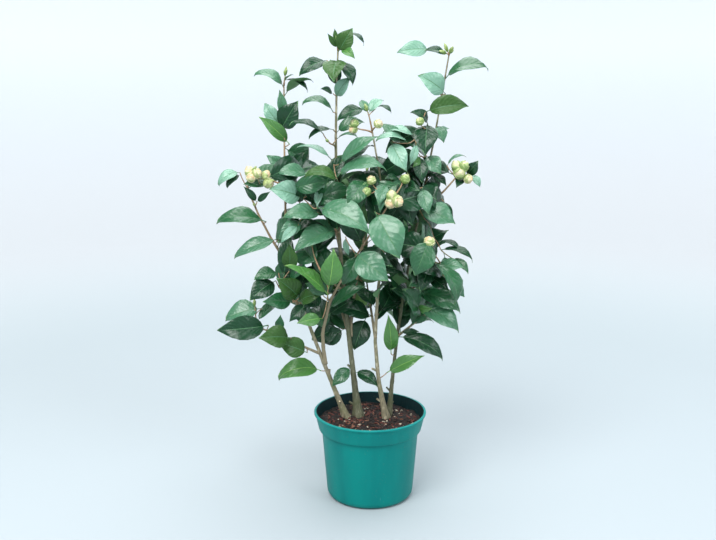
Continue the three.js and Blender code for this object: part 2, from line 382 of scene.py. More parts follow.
@dataclass(frozen=True)
class BarkFinish(Finish):
    """Smooth bark with long fibres, paler flakes, dark pores and a green bloom.

    Attributes:
        name: What the finish is called.
        ground: Its main colour.
        fibre: The darker colour between its fibres, and of its pores.
        flake: The pale colour of its flakes.
        bloom: The green of the algae on it.
        bloom_share: How strong the algae are, from 0 to 1.
        shade_and_damp: The colour of low bark, partly from moisture and algae and partly painted shade from
            the crown above.
        shade_and_damp_share: How far the low bark has that colour, from 0 to 1.
        shade_and_damp_heights: The height up to which bark has that colour in full, and the height from which
            it has none of it.
        roughness: How far its smoothest places spread a reflection.
        unevenness: How much rougher its fibres are.
        fibre_relief: Height of its fibres, as a share of the flakes' height.
        relief: Height of its flakes.
    """

    name: str
    ground: Colour
    fibre: Colour
    flake: Colour
    bloom: Colour
    bloom_share: float = 0.3
    # Painted shade in part: the low bark's darker colour stands partly for moisture and algae and partly for
    # the shade under the crown.
    shade_and_damp: Colour = colour(58, 72, 48)
    shade_and_damp_share: float = 0.0
    shade_and_damp_heights: tuple[float, float] = (0.36, 0.6)
    roughness: float = 0.62
    unevenness: float = 0.25
    fibre_relief: float = 0.6
    relief: float = 0.0004

    FIBRES = Grain(620.0, 4.0, (1.0, 1.0, 0.14), 0.4, 0.7, 0.7)
    FLAKES = Grain(170.0, 3.0, (1.0, 1.0, 0.4), 0.52, 0.7, 0.7)
    PATCHES = Grain(38.0, 2.0, None, 0.48, 0.66)
    PORES = Grain(480.0, 1.0, (1.0, 1.0, 1.8), 0.66, 0.74, 0.5)

    def inputs(self, bench: Bench) -> dict[str, object]:
        """Lays the flakes, algae and pores over the bark. Over its foot it lays a darker colour that is
        partly moisture and algae and partly painted shade.

        Args:
            bench: The bench for the material's tree.

        Returns:
            The shader's inputs.
        """
        where = bench.object_place()
        fibres, flakes = self.FIBRES.clouds(where), self.FLAKES.clouds(where)
        height = bench.axes(where)[2]
        shade = bench.layers(
            self.ground,
            (self.FIBRES.marks(fibres), self.fibre),
            (self.FLAKES.marks(flakes), self.flake),
            (self.PATCHES.marks(self.PATCHES.clouds(where)) * self.bloom_share, self.bloom),
            (self.PORES.marks(self.PORES.clouds(where)), self.fibre),
            # Painted shade in part: below these heights the bark darkens, partly for moisture and algae and
            # partly for the crown's shade.
            ((1.0 - height.between(*self.shade_and_damp_heights)) * self.shade_and_damp_share, self.shade_and_damp),
        )
        return {
            "Base Color": shade,
            "Roughness": self.roughness + fibres * self.unevenness,
            "Normal": bench.bump(fibres * self.fibre_relief + flakes, self.relief),
        }


@dataclass(frozen=True)
class PotFinish(Finish):
    """Moulded nursery plastic: faint flow marks, pale scuffs and splashed dust.

    Attributes:
        name: What the finish is called.
        shade: Its main colour.
        deep: Its colour where the plastic flowed last.
        scuff: The colour of fine scratches where it is rubbed.
        dust: The colour of splashed dust.
        gloss: How strong its reflection is.
        roughness: How far its smoothest places spread a reflection.
        relief: Height of its surface's peel.
    """

    name: str = "pot_plastic"
    shade: Colour = colour(0, 130, 123)
    deep: Colour = colour(0, 119, 115)
    scuff: Colour = colour(100, 170, 162)
    dust: Colour = colour(120, 118, 96)
    gloss: float = 0.15
    roughness: float = 0.4
    relief: float = 0.00012

    FLOW = Grain(24.0, 3.0, (1.0, 1.0, 0.22), 0.35, 0.65)
    SCRATCHES = Grain(330.0, 2.0, (1.0, 1.0, 0.12), 0.7, 0.76, 0.5)
    RUBBED = Grain(30.0, 4.0, None, 0.6, 0.7)
    SPECKS = Grain(420.0, 1.0, None, 0.71, 0.77, 0.35)
    PEEL = Grain(900.0, 1.0)

    def inputs(self, bench: Bench) -> dict[str, object]:
        """Lays the scuffs and dust over the plastic.

        Args:
            bench: The bench for the material's tree.

        Returns:
            The shader's inputs.
        """
        where = bench.object_place()
        flow = self.FLOW.clouds(where)
        rubbed = self.RUBBED.marks(self.RUBBED.clouds(where))
        shade = bench.layers(
            self.shade,
            (self.FLOW.marks(flow), self.deep),
            (self.SCRATCHES.marks(self.SCRATCHES.clouds(where)) * rubbed, self.scuff),
            (self.SPECKS.marks(self.SPECKS.clouds(where)), self.dust),
        )
        return {
            "Base Color": shade,
            "Roughness": self.roughness + flow * 0.12 + rubbed * 0.1,
            "Specular IOR Level": self.gloss,
            "Normal": bench.bump(self.PEEL.clouds(where) + flow * 0.8, self.relief),
        }


@dataclass(frozen=True)
class MixFinish(Finish):
    """Moist potting mix: dark peat with reddish and pale crumbs.

    Attributes:
        name: What the finish is called.
        peat: Its darkest colour.
        humus: The colour of its crumbs.
        red: The colour of the patches of bark dust.
        pale: The colour of its fibres.
        roughness: How far its smoothest places spread a reflection.
        unevenness: How much rougher its crumbs are.
        relief: Height of its crumbs.
    """

    name: str = "potting_mix"
    peat: Colour = colour(15, 12, 11)
    humus: Colour = colour(34, 25, 22)
    red: Colour = colour(62, 31, 28)
    pale: Colour = colour(150, 142, 120)
    roughness: float = 0.72
    unevenness: float = 0.25
    relief: float = 0.0012

    CRUMBS = Grain(260.0, 4.0, None, 0.4, 0.62)
    PATCHES = Grain(70.0, 2.0, None, 0.56, 0.68, 0.7)
    FIBRES = Grain(520.0, 1.0, (1.0, 0.3, 1.0), 0.7, 0.76, 0.5)

    def inputs(self, bench: Bench) -> dict[str, object]:
        """Lays the crumbs and fibres over the peat.

        Args:
            bench: The bench for the material's tree.

        Returns:
            The shader's inputs.
        """
        where = bench.object_place()
        crumbs = self.CRUMBS.clouds(where)
        shade = bench.layers(
            self.peat,
            (self.CRUMBS.marks(crumbs), self.humus),
            (self.PATCHES.marks(self.PATCHES.clouds(where)), self.red),
            (self.FIBRES.marks(self.FIBRES.clouds(where)), self.pale),
        )
        return {
            "Base Color": shade,
            "Roughness": self.roughness + crumbs * self.unevenness,
            "Normal": bench.bump(crumbs, self.relief),
        }


@dataclass(frozen=True)
class FloorFinish(Finish):
    """A plain pale floor and backdrop, which glow a little so that both look alike from any side.

    Attributes:
        name: What the finish is called.
        floor: The colour of the floor.
        wall: The colour of the backdrop.
        glow: The glow that rises with the distance behind the shrub.
        far_glow: The glow of the far floor and of the foot of the backdrop behind the shrub.
        near_glow: The glow far out on the visitor's side, which the other views look at.
        wall_heights: Where the floor's colour ends and where the backdrop's begins.
        foot_heights: Up to where the foot of the backdrop glows in full, and where that ends.
        ahead: Where, along Y, the side behind the shrub begins and where it is reached in full.
        glow_reach: Distance over which the glow rises.
        far_reach: Distance over which the far glow rises.
        near_reach: Distance over which the near glow rises.
    """

    name: str = "floor_pale"
    floor: Colour = colour(170, 179, 183)
    wall: Colour = colour(229, 231, 236)
    glow: Colour = colour(125, 134, 135)
    far_glow: Colour = colour(173, 172, 174)
    near_glow: Colour = colour(128, 133, 136)
    wall_heights: tuple[float, float] = (0.0, 1.2)
    foot_heights: tuple[float, float] = (0.1, 1.0)
    ahead: tuple[float, float] = (-1.6, 0.6)
    glow_reach: tuple[float, float] = (0.15, 2.8)
    far_reach: tuple[float, float] = (1.3, 3.4)
    near_reach: tuple[float, float] = (2.0, 3.8)

    def inputs(self, bench: Bench) -> dict[str, object]:
        """Draws the glow out with the distance from the shrub.

        Args:
            bench: The bench for the material's tree.

        Returns:
            The shader's inputs.
        """
        place = bench.object_place()
        reach = bench.wire("ShaderNodeVectorMath", {"operation": "LENGTH"}, {0: place}, "Value")
        _, depth, height = bench.axes(place)
        front = depth.between(*self.ahead)
        rise = reach.between(*self.glow_reach) * front
        far = reach.between(*self.far_reach) * (1.0 - height.between(*self.foot_heights)) * front
        near = bench.mix(reach.between(*self.near_reach) * (1.0 - front), colour(0, 0, 0), self.near_glow)
        return {
            "Base Color": bench.mix(height.between(*self.wall_heights), self.floor, self.wall),
            "Roughness": 0.85,
            "Emission Color": bench.mix(far, bench.mix(rise, near, self.glow), self.far_glow),
            "Emission Strength": 1.0,
        }


# ---- Shapes ----

SHEET = "sheet"
PART = "part"


class Shape:
    """A piece before it becomes a mesh.

    Attributes:
        corners: Its corners.
        faces: The numbers of the corners of each face.
        parts: The part number of each face.
        sheet: Each corner's place on the sheet of coordinates.
        sharp: The edges that are sharp, by the numbers of their corners.
    """

    def __init__(self) -> None:
        """Starts with nothing."""
        self.corners: list[Triple] = []
        self.faces: list[list[int]] = []
        self.parts: list[int] = []
        self.sheet: list[tuple[float, float]] = []
        self.sharp: set[tuple[int, int]] = set()

    def skin(
        self,
        rows: np.ndarray,
        parts: Sequence[int] = (0,),
        caps: bool = True,
        sharp: Iterable[int] = (),
        places: np.ndarray | None = None,
    ) -> None:
        """Adds a grid of faces over rows of points, whose last column joins the first.

        Args:
            rows: The points, as rows by columns by 3.
            parts: The part number of each strip between two columns, or one for all of them.
            caps: Whether the first and last rows are closed with a face.
            sharp: Columns along which the skin has a sharp edge.
            places: Each point's place on the sheet of coordinates, as rows by columns by 2.
        """
        count, width = rows.shape[:2]
        start = len(self.corners)
        self.corners.extend(map(tuple, rows.reshape(-1, 3).tolist()))
        flat = np.zeros((count * width, 2)) if places is None else places.reshape(-1, 2)
        self.sheet.extend(map(tuple, flat.tolist()))
        for row in range(count - 1):
            for column in range(width):
                low = start + row * width
                after = (column + 1) % width
                self.faces.append([low + column, low + after, low + width + after, low + width + column])
                self.parts.append(parts[column % len(parts)])
            self.sharp.update((low + column, low + width + column) for column in sharp)
        if caps:
            self.faces.append([start + column for column in reversed(range(width))])
            self.faces.append([start + (count - 1) * width + column for column in range(width)])
            self.parts.extend((parts[0], parts[0]))

    def add(self, other: "Shape") -> None:
        """Adds a copy of another shape.

        Args:
            other: The shape to copy.
        """
        start = len(self.corners)
        self.corners.extend(other.corners)
        self.faces.extend([start + corner for corner in face] for face in other.faces)
        self.parts.extend(other.parts)
        self.sheet.extend(other.sheet)
        self.sharp.update((start + low, start + high) for low, high in other.sharp)

    def turned(self, matrix: Matrix) -> "Shape":
        """Moves every corner by a matrix and returns the shape."""
        self.corners = [tuple(matrix @ Vector(corner)) for corner in self.corners]
        return self

    def mesh(self, name: str) -> bpy.types.Mesh:
        """Makes the mesh, with its part numbers and its sheet of coordinates.

        Args:
            name: What the mesh is called.

        Returns:
            The mesh.
        """
        mesh = bpy.data.meshes.new(name)
        mesh.from_pydata(self.corners, [], self.faces)
        mesh.update(calc_edges=True)
        mesh.attributes.new(PART, "INT", "FACE").data.foreach_set("value", self.parts)
        layer = mesh.uv_layers.new(name=SHEET)
        corners = np.empty(len(mesh.loops), np.int32)
        mesh.loops.foreach_get("vertex_index", corners)
        layer.data.foreach_set("uv", np.array(self.sheet, np.float32)[corners].ravel())
        mesh.shade_smooth()
        if self.sharp:
            edges = mesh.attributes.new("sharp_edge", "BOOLEAN", "EDGE")
            marks = [tuple(sorted(edge.vertices)) in self.sharp for edge in mesh.edges]
            edges.data.foreach_set("value", marks)
        return mesh

    def piece(self, name: str, materials: Sequence[bpy.types.Material]) -> bpy.types.Object:
        """Makes the piece, with the material of each face from its part number.

        Args:
            name: What the piece is called.
            materials: The material of each part.

        Returns:
            The piece, in the scene.
        """
        mesh = self.mesh(name)
        for material in materials:
            mesh.materials.append(material)
        mesh.polygons.foreach_set("material_index", [part % len(materials) for part in self.parts])
        mesh.attributes.remove(mesh.attributes[PART])
        piece = bpy.data.objects.new(name, mesh)
        bpy.context.scene.collection.objects.link(piece)
        return piece


def settle(piece: bpy.types.Object, slot: str, *replaced: str) -> None:
    """Makes a finished piece part of the shrub.

    Args:
        piece: The piece, in place.
        slot: A material slot of the record, which is not used.
        replaced: The CAD nodes that it stands for.
    """
    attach(piece, BODY)
    if replaced:
        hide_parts(*replaced)
    triangles = sum(len(polygon.vertices) - 2 for polygon in piece.data.polygons)
    LOG.info("%s: %d triangles, stands for %s", piece.name, triangles, ", ".join(replaced) or "no node")


def frames_along(points: np.ndarray) -> tuple[np.ndarray, np.ndarray, np.ndarray]:
    """Finds level frames along a line.

    Args:
        points: The line's points.

    Returns:
        The heading, and two vectors across it that don't spin about it, at each point.
    """
    headings = np.gradient(points, axis=0)
    headings /= np.maximum(np.linalg.norm(headings, axis=1, keepdims=True), TINY)
    sides = np.empty_like(points)
    side = np.cross(headings[0], FRONT if abs(headings[0][1]) < ALONG_Y else UP)
    for index, heading in enumerate(headings):
        side = unit(side - heading * float(side @ heading))
        sides[index] = side
    return headings, sides, np.cross(headings, sides)


def tube_rows(points: np.ndarray, radii: np.ndarray, sides: int) -> np.ndarray:
    """Finds the rings of a tube.

    Args:
        points: The points of its centre line.
        radii: The radius at each point, or at each point and side.
        sides: How many sides it has.

    Returns:
        The rings, as points by sides by 3.
    """
    _, first, second = frames_along(points)
    angles = np.linspace(0, 2 * math.pi, sides, endpoint=False)
    spokes = first[:, None] * np.cos(angles)[None, :, None] + second[:, None] * np.sin(angles)[None, :, None]
    reach = radii[:, None] if radii.ndim == 1 else radii
    return points[:, None] + spokes * reach[..., None]


# ---- Limbs ----


@dataclass
class Line:
    """The centre line of a limb or twig, foot first.

    Attributes:
        points: Its points.
        radii: The radius at each point.
    """

    points: np.ndarray
    radii: np.ndarray

    FEWEST = 4

    def lengths(self) -> np.ndarray:
        """How far along the line each point lies."""
        steps = np.linalg.norm(np.diff(self.points, axis=0), axis=1)
        return np.concatenate(((0.0,), np.cumsum(steps)))

    def even(self, step: float) -> "Line":
        """Spaces the points of the line evenly.

        Args:
            step: About how far apart they are to be.

        Returns:
            The new line.
        """
        lengths = self.lengths()
        places = np.linspace(0, lengths[-1], max(self.FEWEST, round(lengths[-1] / step) + 1))
        points = np.stack([np.interp(places, lengths, self.points[:, axis]) for axis in range(3)], axis=1)
        return Line(points, np.interp(places, lengths, self.radii))

    def longer(self, foot: float, tip: float) -> "Line":
        """Draws the line out straight.

        Args:
            foot: How much longer it gets at its foot.
            tip: How much longer it gets at its tip.

        Returns:
            The new line.
        """
        first = self.points[0] - unit(self.points[1] - self.points[0]) * foot
        last = self.points[-1] + unit(self.points[-1] - self.points[-2]) * tip
        points = np.vstack((first, self.points, last))
        return Line(points, np.concatenate((self.radii[:1], self.radii, self.radii[-1:])))


def cut_ring(triangles: np.ndarray, heights: np.ndarray) -> tuple[np.ndarray, float] | None:
    """Cuts a closed skin with a plane.

    Args:
        triangles: The skin's triangles, as triangles by corners by 3.
        heights: How far each corner lies above the plane.

    Returns:
        The middle and the radius of the cut, or None where the plane misses the skin.
    """
    crossed = heights * np.roll(heights, -1, axis=1) < 0
    met = crossed.sum(axis=1) == 2
    if met.sum() < 3:
        return None
    corners, heights, crossed = triangles[met], heights[met], crossed[met]
    after = np.roll(heights, -1, axis=1)
    share = heights / np.where(heights == after, 1.0, heights - after)
    points = corners + (np.roll(corners, -1, axis=1) - corners) * share[..., None]
    order = np.argsort(~crossed, axis=1, kind="stable")[:, :2]
    ends = np.take_along_axis(points, order[..., None], axis=1)
    lengths = np.linalg.norm(ends[:, 0] - ends[:, 1], axis=1)
    middle = (ends.mean(axis=1) * lengths[:, None]).sum(axis=0) / lengths.sum()
    return middle, float(lengths.sum()) / (2 * math.pi)


def line_of_node(node: str, cuts: int = 26, margin: float = 0.008) -> Line:
    """Finds the centre line of a limb from its CAD solid.

    Args:
        node: The limb's CAD node.
        cuts: How many times the solid is cut across.
        margin: How far from its ends the cuts begin.

    Returns:
        Its centre line, from its thicker end.
    """
    mesh = frame["nodes"][node].data
    mesh.calc_loop_triangles()
    places = np.array([vertex.co for vertex in mesh.vertices])
    triangles = places[np.array([triangle.vertices for triangle in mesh.loop_triangles])]
    middle = places.mean(axis=0)
    axis = np.linalg.svd(places - middle, full_matrices=False)[2][0]
    spread = (places - middle) @ axis
    rings = []
    for place in np.linspace(spread.min() + margin, spread.max() - margin, cuts):
        ring = cut_ring(triangles, (triangles - middle) @ axis - place)
        if ring is not None:
            rings.append(ring)
    if rings[0][1] < rings[-1][1]:
        rings.reverse()
    line = Line(np.array([ring[0] for ring in rings]), np.array([ring[1] for ring in rings]))
    return line.longer(margin, margin)


class Bark(Enum):
    """What covers a limb."""

    OLD = "bark"
    YOUNG = "twig_bark"


@dataclass
class Limbs:
    """The stems, forks and boughs, each with the relief of its bark.

    Attributes:
        ring_step: Length of limb between two rings.
        stem_sides: How many sides a stem has.
        bough_sides: How many sides a fork or bough has.
        root_depth: How far a limb runs on into the potting mix or its parent.
        joint: Shortest and longest stretch between two joints of a limb.
        joint_reach: How far a joint's swelling reaches along the limb.
        swelling: How much a limb thickens at a joint, as a share of its radius.
        scar_width: Half the angle that a leaf scar covers.
        slimming: Share of the solid's radius that a stem lacks between its joints.
        bough_slimming: How much of that share a fork or bough lacks.
        slimming_run: How far up its foot a limb still keeps a good part of its full radius.
        flare: How much a stem's foot spreads, as a share of its radius.
        flare_height: How far up the spread reaches.
        fibre_height: Height of the fibres of the bark.
        smooth_radius: Radius under which the relief grows fainter.
        stub_count: How many cut stubs a stem has.
        stub_rings: Between which of its rings they sit.
        stub_reach: Shortest and longest length of a stub.
        stub_radius: Radius of the thinnest and thickest stub.
        stub_sides: How many sides a stub has.
        lines: The centre line of each limb, by its CAD node, once it is built.
    """

    ring_step: float = 0.0035
    stem_sides: int = 20
    bough_sides: int = 12
    root_depth: float = 0.009
    joint: tuple[float, float] = (0.018, 0.042)
    joint_reach: float = 0.0032
    swelling: float = 0.1
    scar_width: float = 0.8
    slimming: float = 0.4
    bough_slimming: float = 0.75
    slimming_run: float = 0.05
    flare: float = 0.16
    flare_height: float = 0.014
    fibre_height: float = 0.0004
    smooth_radius: float = 0.005
    stub_count: int = 2
    stub_rings: tuple[int, int] = (6, 36)
    stub_reach: tuple[float, float] = (0.003, 0.009)
    stub_radius: tuple[float, float] = (0.0014, 0.0024)
    stub_sides: int = 8
    lines: dict[str, Line] = field(default_factory=dict)

    OLD_FINISH = BarkFinish(
        "stem_bark",
        colour(145, 136, 110),
        colour(78, 75, 60),
        colour(194, 186, 160),
        colour(94, 104, 60),
        bloom_share=0.4,
    )
    # The centre and rear stems darken low down, partly from moisture and algae and partly as painted shade
    # from the crown.
    SHADE_AND_DAMP_FINISH = replace(OLD_FINISH, name="damp_bark", shade_and_damp_share=0.62)
    SHADE_AND_DAMP_STEMS = ("stem_centre", "stem_rear")
    YOUNG_FINISH = BarkFinish(
        "young_bark",
        colour(168, 142, 112),
        colour(118, 96, 74),
        colour(194, 172, 142),
        colour(122, 116, 76),
        bloom_share=0.15,
        # Low on forks and boughs the bark turns greyer and darker, partly from moisture and partly as painted
        # shade.
        shade_and_damp=colour(132, 128, 104),
        shade_and_damp_share=0.7,
    )
    CUT_FINISH = SoftFinish("cut_wood", colour(206, 190, 156), 0.8)

    def build(self) -> None:
        """Builds every limb and remembers its centre line."""
        finishes = {Bark.OLD: self.OLD_FINISH.material(), Bark.YOUNG: self.YOUNG_FINISH.material()}
        shade_and_damp, cut = self.SHADE_AND_DAMP_FINISH.material(), self.CUT_FINISH.material()
        for node in sorted(name for name in frame["nodes"] if name.startswith(("stem_", "fork_", "bough_"))):
            bark = Bark.OLD if node.startswith("stem_") else Bark.YOUNG
            line = line_of_node(node)
            self.lines[node] = line
            shape = Shape()
            self._add_bark(shape, line, random.Random(f"{SEED} {node}"), rooted=bark is Bark.OLD)
            # The centre and rear stems take the bark whose foot is darkened, partly as painted shade.
            finish = shade_and_damp if node in self.SHADE_AND_DAMP_STEMS else finishes[bark]
            piece = shape.piece(f"wood_{node}", [finish, cut])
            settle(piece, bark.value, node)

    def _add_bark(self, shape: Shape, line: Line, dice: random.Random, rooted: bool) -> None:
        """Adds one limb's skin, with fibres, joints, leaf scars and, low on a stem, cut stubs.

        Args:
            shape: The shape that it is added to.
            line: The limb's centre line.
            dice: The limb's own chance.
            rooted: Whether it is a stem, which stands in the potting mix.
        """
        line = line.longer(self.root_depth, 0.0).even(self.ring_step)
        sides = self.stem_sides if rooted else self.bough_sides
        lengths = line.lengths()
        angles = np.linspace(0, 2 * math.pi, sides, endpoint=False)
        radii = np.repeat(line.radii[:, None], sides, axis=1)
        slimming = self.slimming if rooted else self.bough_slimming * self.slimming
        radii *= 1 - slimming * (1 - np.exp(-lengths / self.slimming_run))[:, None]
        self._swell_joints(radii, lengths, angles, dice)
        if rooted:
            rise = np.exp(-np.maximum(lengths - self.root_depth, 0) / self.flare_height)
            toes = np.cos(3 * angles + dice.uniform(0, 6)) + 0.5 * np.cos(5 * angles + dice.uniform(0, 6))
            radii *= 1 + self.flare * rise[:, None] * (1 + toes[None])
        rows = tube_rows(line.points, radii, sides)
        middles = line.points[:, None]
        outward = (rows - middles) / np.linalg.norm(rows - middles, axis=2, keepdims=True)
        relief = np.array([[self._relief(point) for point in ring] for ring in rows])
        thin = np.minimum(line.radii / self.smooth_radius, 1.0)[:, None]
        shape.skin(rows + outward * (relief * thin)[..., None])
        if rooted:
            self._add_stubs(shape, line, dice)

    def _swell_joints(
        self, radii: np.ndarray, lengths: np.ndarray, angles: np.ndarray, dice: random.Random
    ) -> None:
        """Thickens a limb at its joints, most where a leaf has left its scar.

        Args:
            radii: The radius at each ring and side, which is changed.
            lengths: How far along the limb each ring lies.
            angles: Where round the limb each side lies.
            dice: The limb's own chance.
        """
        place = self.root_depth + dice.uniform(*self.joint)
        facing = dice.uniform(0, 2 * math.pi)
        while place < lengths[-1]:
            near = np.exp(-(((lengths - place) / self.joint_reach) ** 2))
            scar = np.exp(-((np.angle(np.exp(1j * (angles - facing))) / self.scar_width) ** 2))
            radii *= 1 + self.swelling * near[:, None] * (0.35 + scar[None])
            place += dice.uniform(*self.joint)
            facing += GOLDEN_ANGLE + dice.uniform(-0.3, 0.3)

    def _relief(self, point: np.ndarray) -> float:
        """Finds the height of the bark, from long fibres and fine flakes.

        Args:
            point: Where on the limb.

        Returns:
            The height.
        """
        x, y, z = (float(value) for value in point)
        fibres = noise.noise(Vector((x * 420, y * 420, z * 55)))
        flakes = noise.noise(Vector((x * 160 + 7, y * 160, z * 120)))
        return self.fibre_height * (0.55 * fibres + 0.6 * flakes)

    def _add_stubs(self, shape: Shape, line: Line, dice: random.Random) -> None:
        """Adds the cut ends of old side shoots low on a stem.

        Args:
            shape: The shape that they are added to.
            line: The stem's centre line, one point for each ring.
            dice: The stem's own chance.
        """
        for _ in range(self.stub_count):
            index = round(dice.uniform(*self.stub_rings))
            heading = unit(line.points[index + 1] - line.points[index])
            across = unit(np.cross(heading, any_vector(dice)))
            way = unit(across + 0.7 * heading)
            reach = line.radii[index] + dice.uniform(*self.stub_reach)
            thickness = dice.uniform(*self.stub_radius)
            spine = line.points[index] + np.linspace(0, 1, 4)[:, None] * way * reach
            radii = thickness * np.array((1.5, 1.25, 1.05, 1.0))
            shape.skin(tube_rows(spine, radii, self.stub_sides), caps=False)
            tip = tube_rows(spine[-2:], radii[-2:], self.stub_sides)[-1]
            shape.skin(np.stack((tip, spine[-1] + (tip - spine[-1]) * 0.1)), (1,), caps=False)


# ---- Geometry Nodes ----


class Tree:
    """A Geometry Nodes tree with named inputs, used once and then made a plain mesh."""

    SOCKETS = {
        bpy.types.Collection: "NodeSocketCollection",
        float: "NodeSocketFloat",
        int: "NodeSocketInt",
    }
    CHANCE_SOCKETS = {"FLOAT_VECTOR": (0, 1, 0), "FLOAT": (2, 3, 1), "INT": (4, 5, 2)}

    def __init__(self, name: str, inputs: dict[str, object]) -> None:
        """Makes the tree.

        Args:
            name: What the tree is called.
            inputs: The value of each of its named inputs.
        """
        self.group = bpy.data.node_groups.new(name, "GeometryNodeTree")
        self.bench = Bench(self.group)
        face = self.group.interface
        face.new_socket("Geometry", in_out="INPUT", socket_type="NodeSocketGeometry")
        face.new_socket("Geometry", in_out="OUTPUT", socket_type="NodeSocketGeometry")
        self.values = {}
        for label, value in inputs.items():
            socket = face.new_socket(label, in_out="INPUT", socket_type=self.SOCKETS[type(value)])
            self.values[socket.identifier] = value
        self.entry = self.bench.node("NodeGroupInput")

    def input(self, label: str) -> Wire:
        """The wire that brings an input in."""
        return Wire(self.bench, self.entry.outputs[label])

    def attribute(self, label: str, kind: str) -> Wire:
        """The wire of a named attribute."""
        return self.bench.wire("GeometryNodeInputNamedAttribute", {"data_type": kind}, {"Name": label})

    def chance(self, kind: str, low: float | Triple, high: float | Triple, seed: Wire) -> Wire:
        """Draws a value for each point.

        Args:
            kind: The value's data type.
            low: The least that it can be.
            high: The most that it can be.
            seed: The seed of the draw.

        Returns:
            The value.
        """
        least, most, output = self.CHANCE_SOCKETS[kind]
        values = {least: low, most: high, "Seed": seed}
        return self.bench.wire("FunctionNodeRandomValue", {"data_type": kind}, values, output)

    def strew(self, points: Wire, form: Wire, turn: Wire, size: Wire) -> Wire:
        """Puts one form of the input "Forms" on each point.

        Args:
            points: The points.
            form: The number of the form on each point.
            turn: Its turn.
            size: Its size.

        Returns:
            The instances.
        """
        picked = self.bench.wire(
            "GeometryNodeCollectionInfo",
            {"transform_space": "ORIGINAL"},
            {"Collection": self.input("Forms"), "Separate Children": True, "Reset Children": True},
        )
        values = {
            "Points": points,
            "Instance": picked,
            "Pick Instance": True,
            "Instance Index": form,
            "Rotation": turn,
            "Scale": size,
        }
        return self.bench.wire("GeometryNodeInstanceOnPoints", None, values)

    def finish(self, instances: Wire, index: Wire, materials: Sequence[bpy.types.Material]) -> None:
        """Ends the tree: real geometry, with the material that its index picks.

        Args:
            instances: The instances to make real.
            index: The number of each face's material.
            materials: The materials in order.
        """
        shape = self.bench.wire("GeometryNodeRealizeInstances", None, {"Geometry": instances})
        for number, material in enumerate(materials):
            chosen = self.bench.wire(
                "FunctionNodeCompare", {"data_type": "INT", "operation": "EQUAL"}, {2: index, 3: number}
            )
            values = {"Geometry": shape, "Selection": chosen, "Material": material}
            shape = self.bench.wire("GeometryNodeSetMaterial", None, values)
        self.bench.node("NodeGroupOutput", None, {"Geometry": shape})

    def apply(self, piece: bpy.types.Object, spare: Iterable[str] = ()) -> bpy.types.Object:
        """Runs the tree on a piece and gives it the result as a plain mesh.

        Args:
            piece: The piece, whose mesh is the tree's geometry.
            spare: Attributes that the result has no use for.

        Returns:
            The piece.
        """
        modifier = piece.modifiers.new(self.group.name, "NODES")
        modifier.node_group = self.group
        for identifier, value in self.values.items():
            modifier[identifier] = value
        graph = bpy.context.evaluated_depsgraph_get()
        mesh = bpy.data.meshes.new_from_object(piece.evaluated_get(graph))
        piece.modifiers.clear()
        piece.data = mesh
        mesh.name = piece.name
        for label in spare:
            if label in mesh.attributes:
                mesh.attributes.remove(mesh.attributes[label])
        return piece


def form_collection(name: str, shapes: Iterable[Shape]) -> bpy.types.Collection:
    """Puts shapes in a collection, in order, for a tree to pick from.

    Args:
        name: What the collection is called.
        shapes: The shapes.

    Returns:
        The collection.
    """
    collection = bpy.data.collections.new(name)
    bpy.context.scene.collection.children.link(collection)
    for index, shape in enumerate(shapes):
        label = f"{name}_{index:02d}"
        collection.objects.link(bpy.data.objects.new(label, shape.mesh(label)))
    return collection


def drop_collection(collection: bpy.types.Collection) -> None:
    """Removes a collection and the objects in it.

    Args:
        collection: The collection.
    """
    for item in list(collection.objects):
        bpy.data.objects.remove(item)
    bpy.data.collections.remove(collection)


@dataclass(frozen=True)
class Seat:
    """One leaf or bud in its place.

    Attributes:
        form: The number of its form.
        at: Where its foot is.
        heading: The way that it points.
        facing: The way that its upper side faces.
        size: Its length.
        tone: The number of its tone.
    """

    form: int
    at: np.ndarray
    heading: np.ndarray
    facing: np.ndarray
    size: float
    tone: int

    def turn(self) -> Quaternion:
        """Finds how the form is turned from its own axes, along X and facing Z.

        Returns:
            The turn.
        """
        along = unit(self.heading)
        face = unit(self.facing - along * float(self.facing @ along))
        columns = np.stack((along, np.cross(face, along), face), axis=1)
        return Matrix(columns.tolist()).to_quaternion()


def deal(
    name: str,
    seats: Sequence[Seat],
    forms: bpy.types.Collection,
    materials: Sequence[bpy.types.Material],
    parts: int,
) -> bpy.types.Object:
    """Puts a form on each seat, by Geometry Nodes, and joins them.

    Args:
        name: What the piece is called.
        seats: The places.
        forms: The collection of forms.
        materials: For each tone, the material of each part.
        parts: How many parts a form has.

    Returns:
        The piece, a plain mesh.
    """
    mesh = bpy.data.meshes.new(name)
    mesh.from_pydata([tuple(seat.at) for seat in seats], [], [])
    columns = {
        "form": ("INT", "value", [seat.form for seat in seats]),
        "tone": ("INT", "value", [seat.tone for seat in seats]),
        "length": ("FLOAT", "value", [seat.size for seat in seats]),
        "turn": ("QUATERNION", "value", [share for seat in seats for share in seat.turn()]),
    }
    for label, (kind, field_name, values) in columns.items():
        mesh.attributes.new(label, kind, "POINT").data.foreach_set(field_name, values)
    piece = bpy.data.objects.new(name, mesh)
    bpy.context.scene.collection.objects.link(piece)
    tree = Tree(f"deal_{name}", {"Forms": forms, "Growth": 1.0})
    instances = tree.strew(
        tree.input("Geometry"),
        tree.attribute("form", "INT"),
        tree.attribute("turn", "QUATERNION"),
        tree.attribute("length", "FLOAT") * tree.input("Growth"),
    )
    index = tree.attribute("tone", "INT") * float(parts) + tree.attribute(PART, "INT")
    tree.finish(instances, index, materials)
    return tree.apply(piece, (*columns, PART))


# ---- Leaves ----


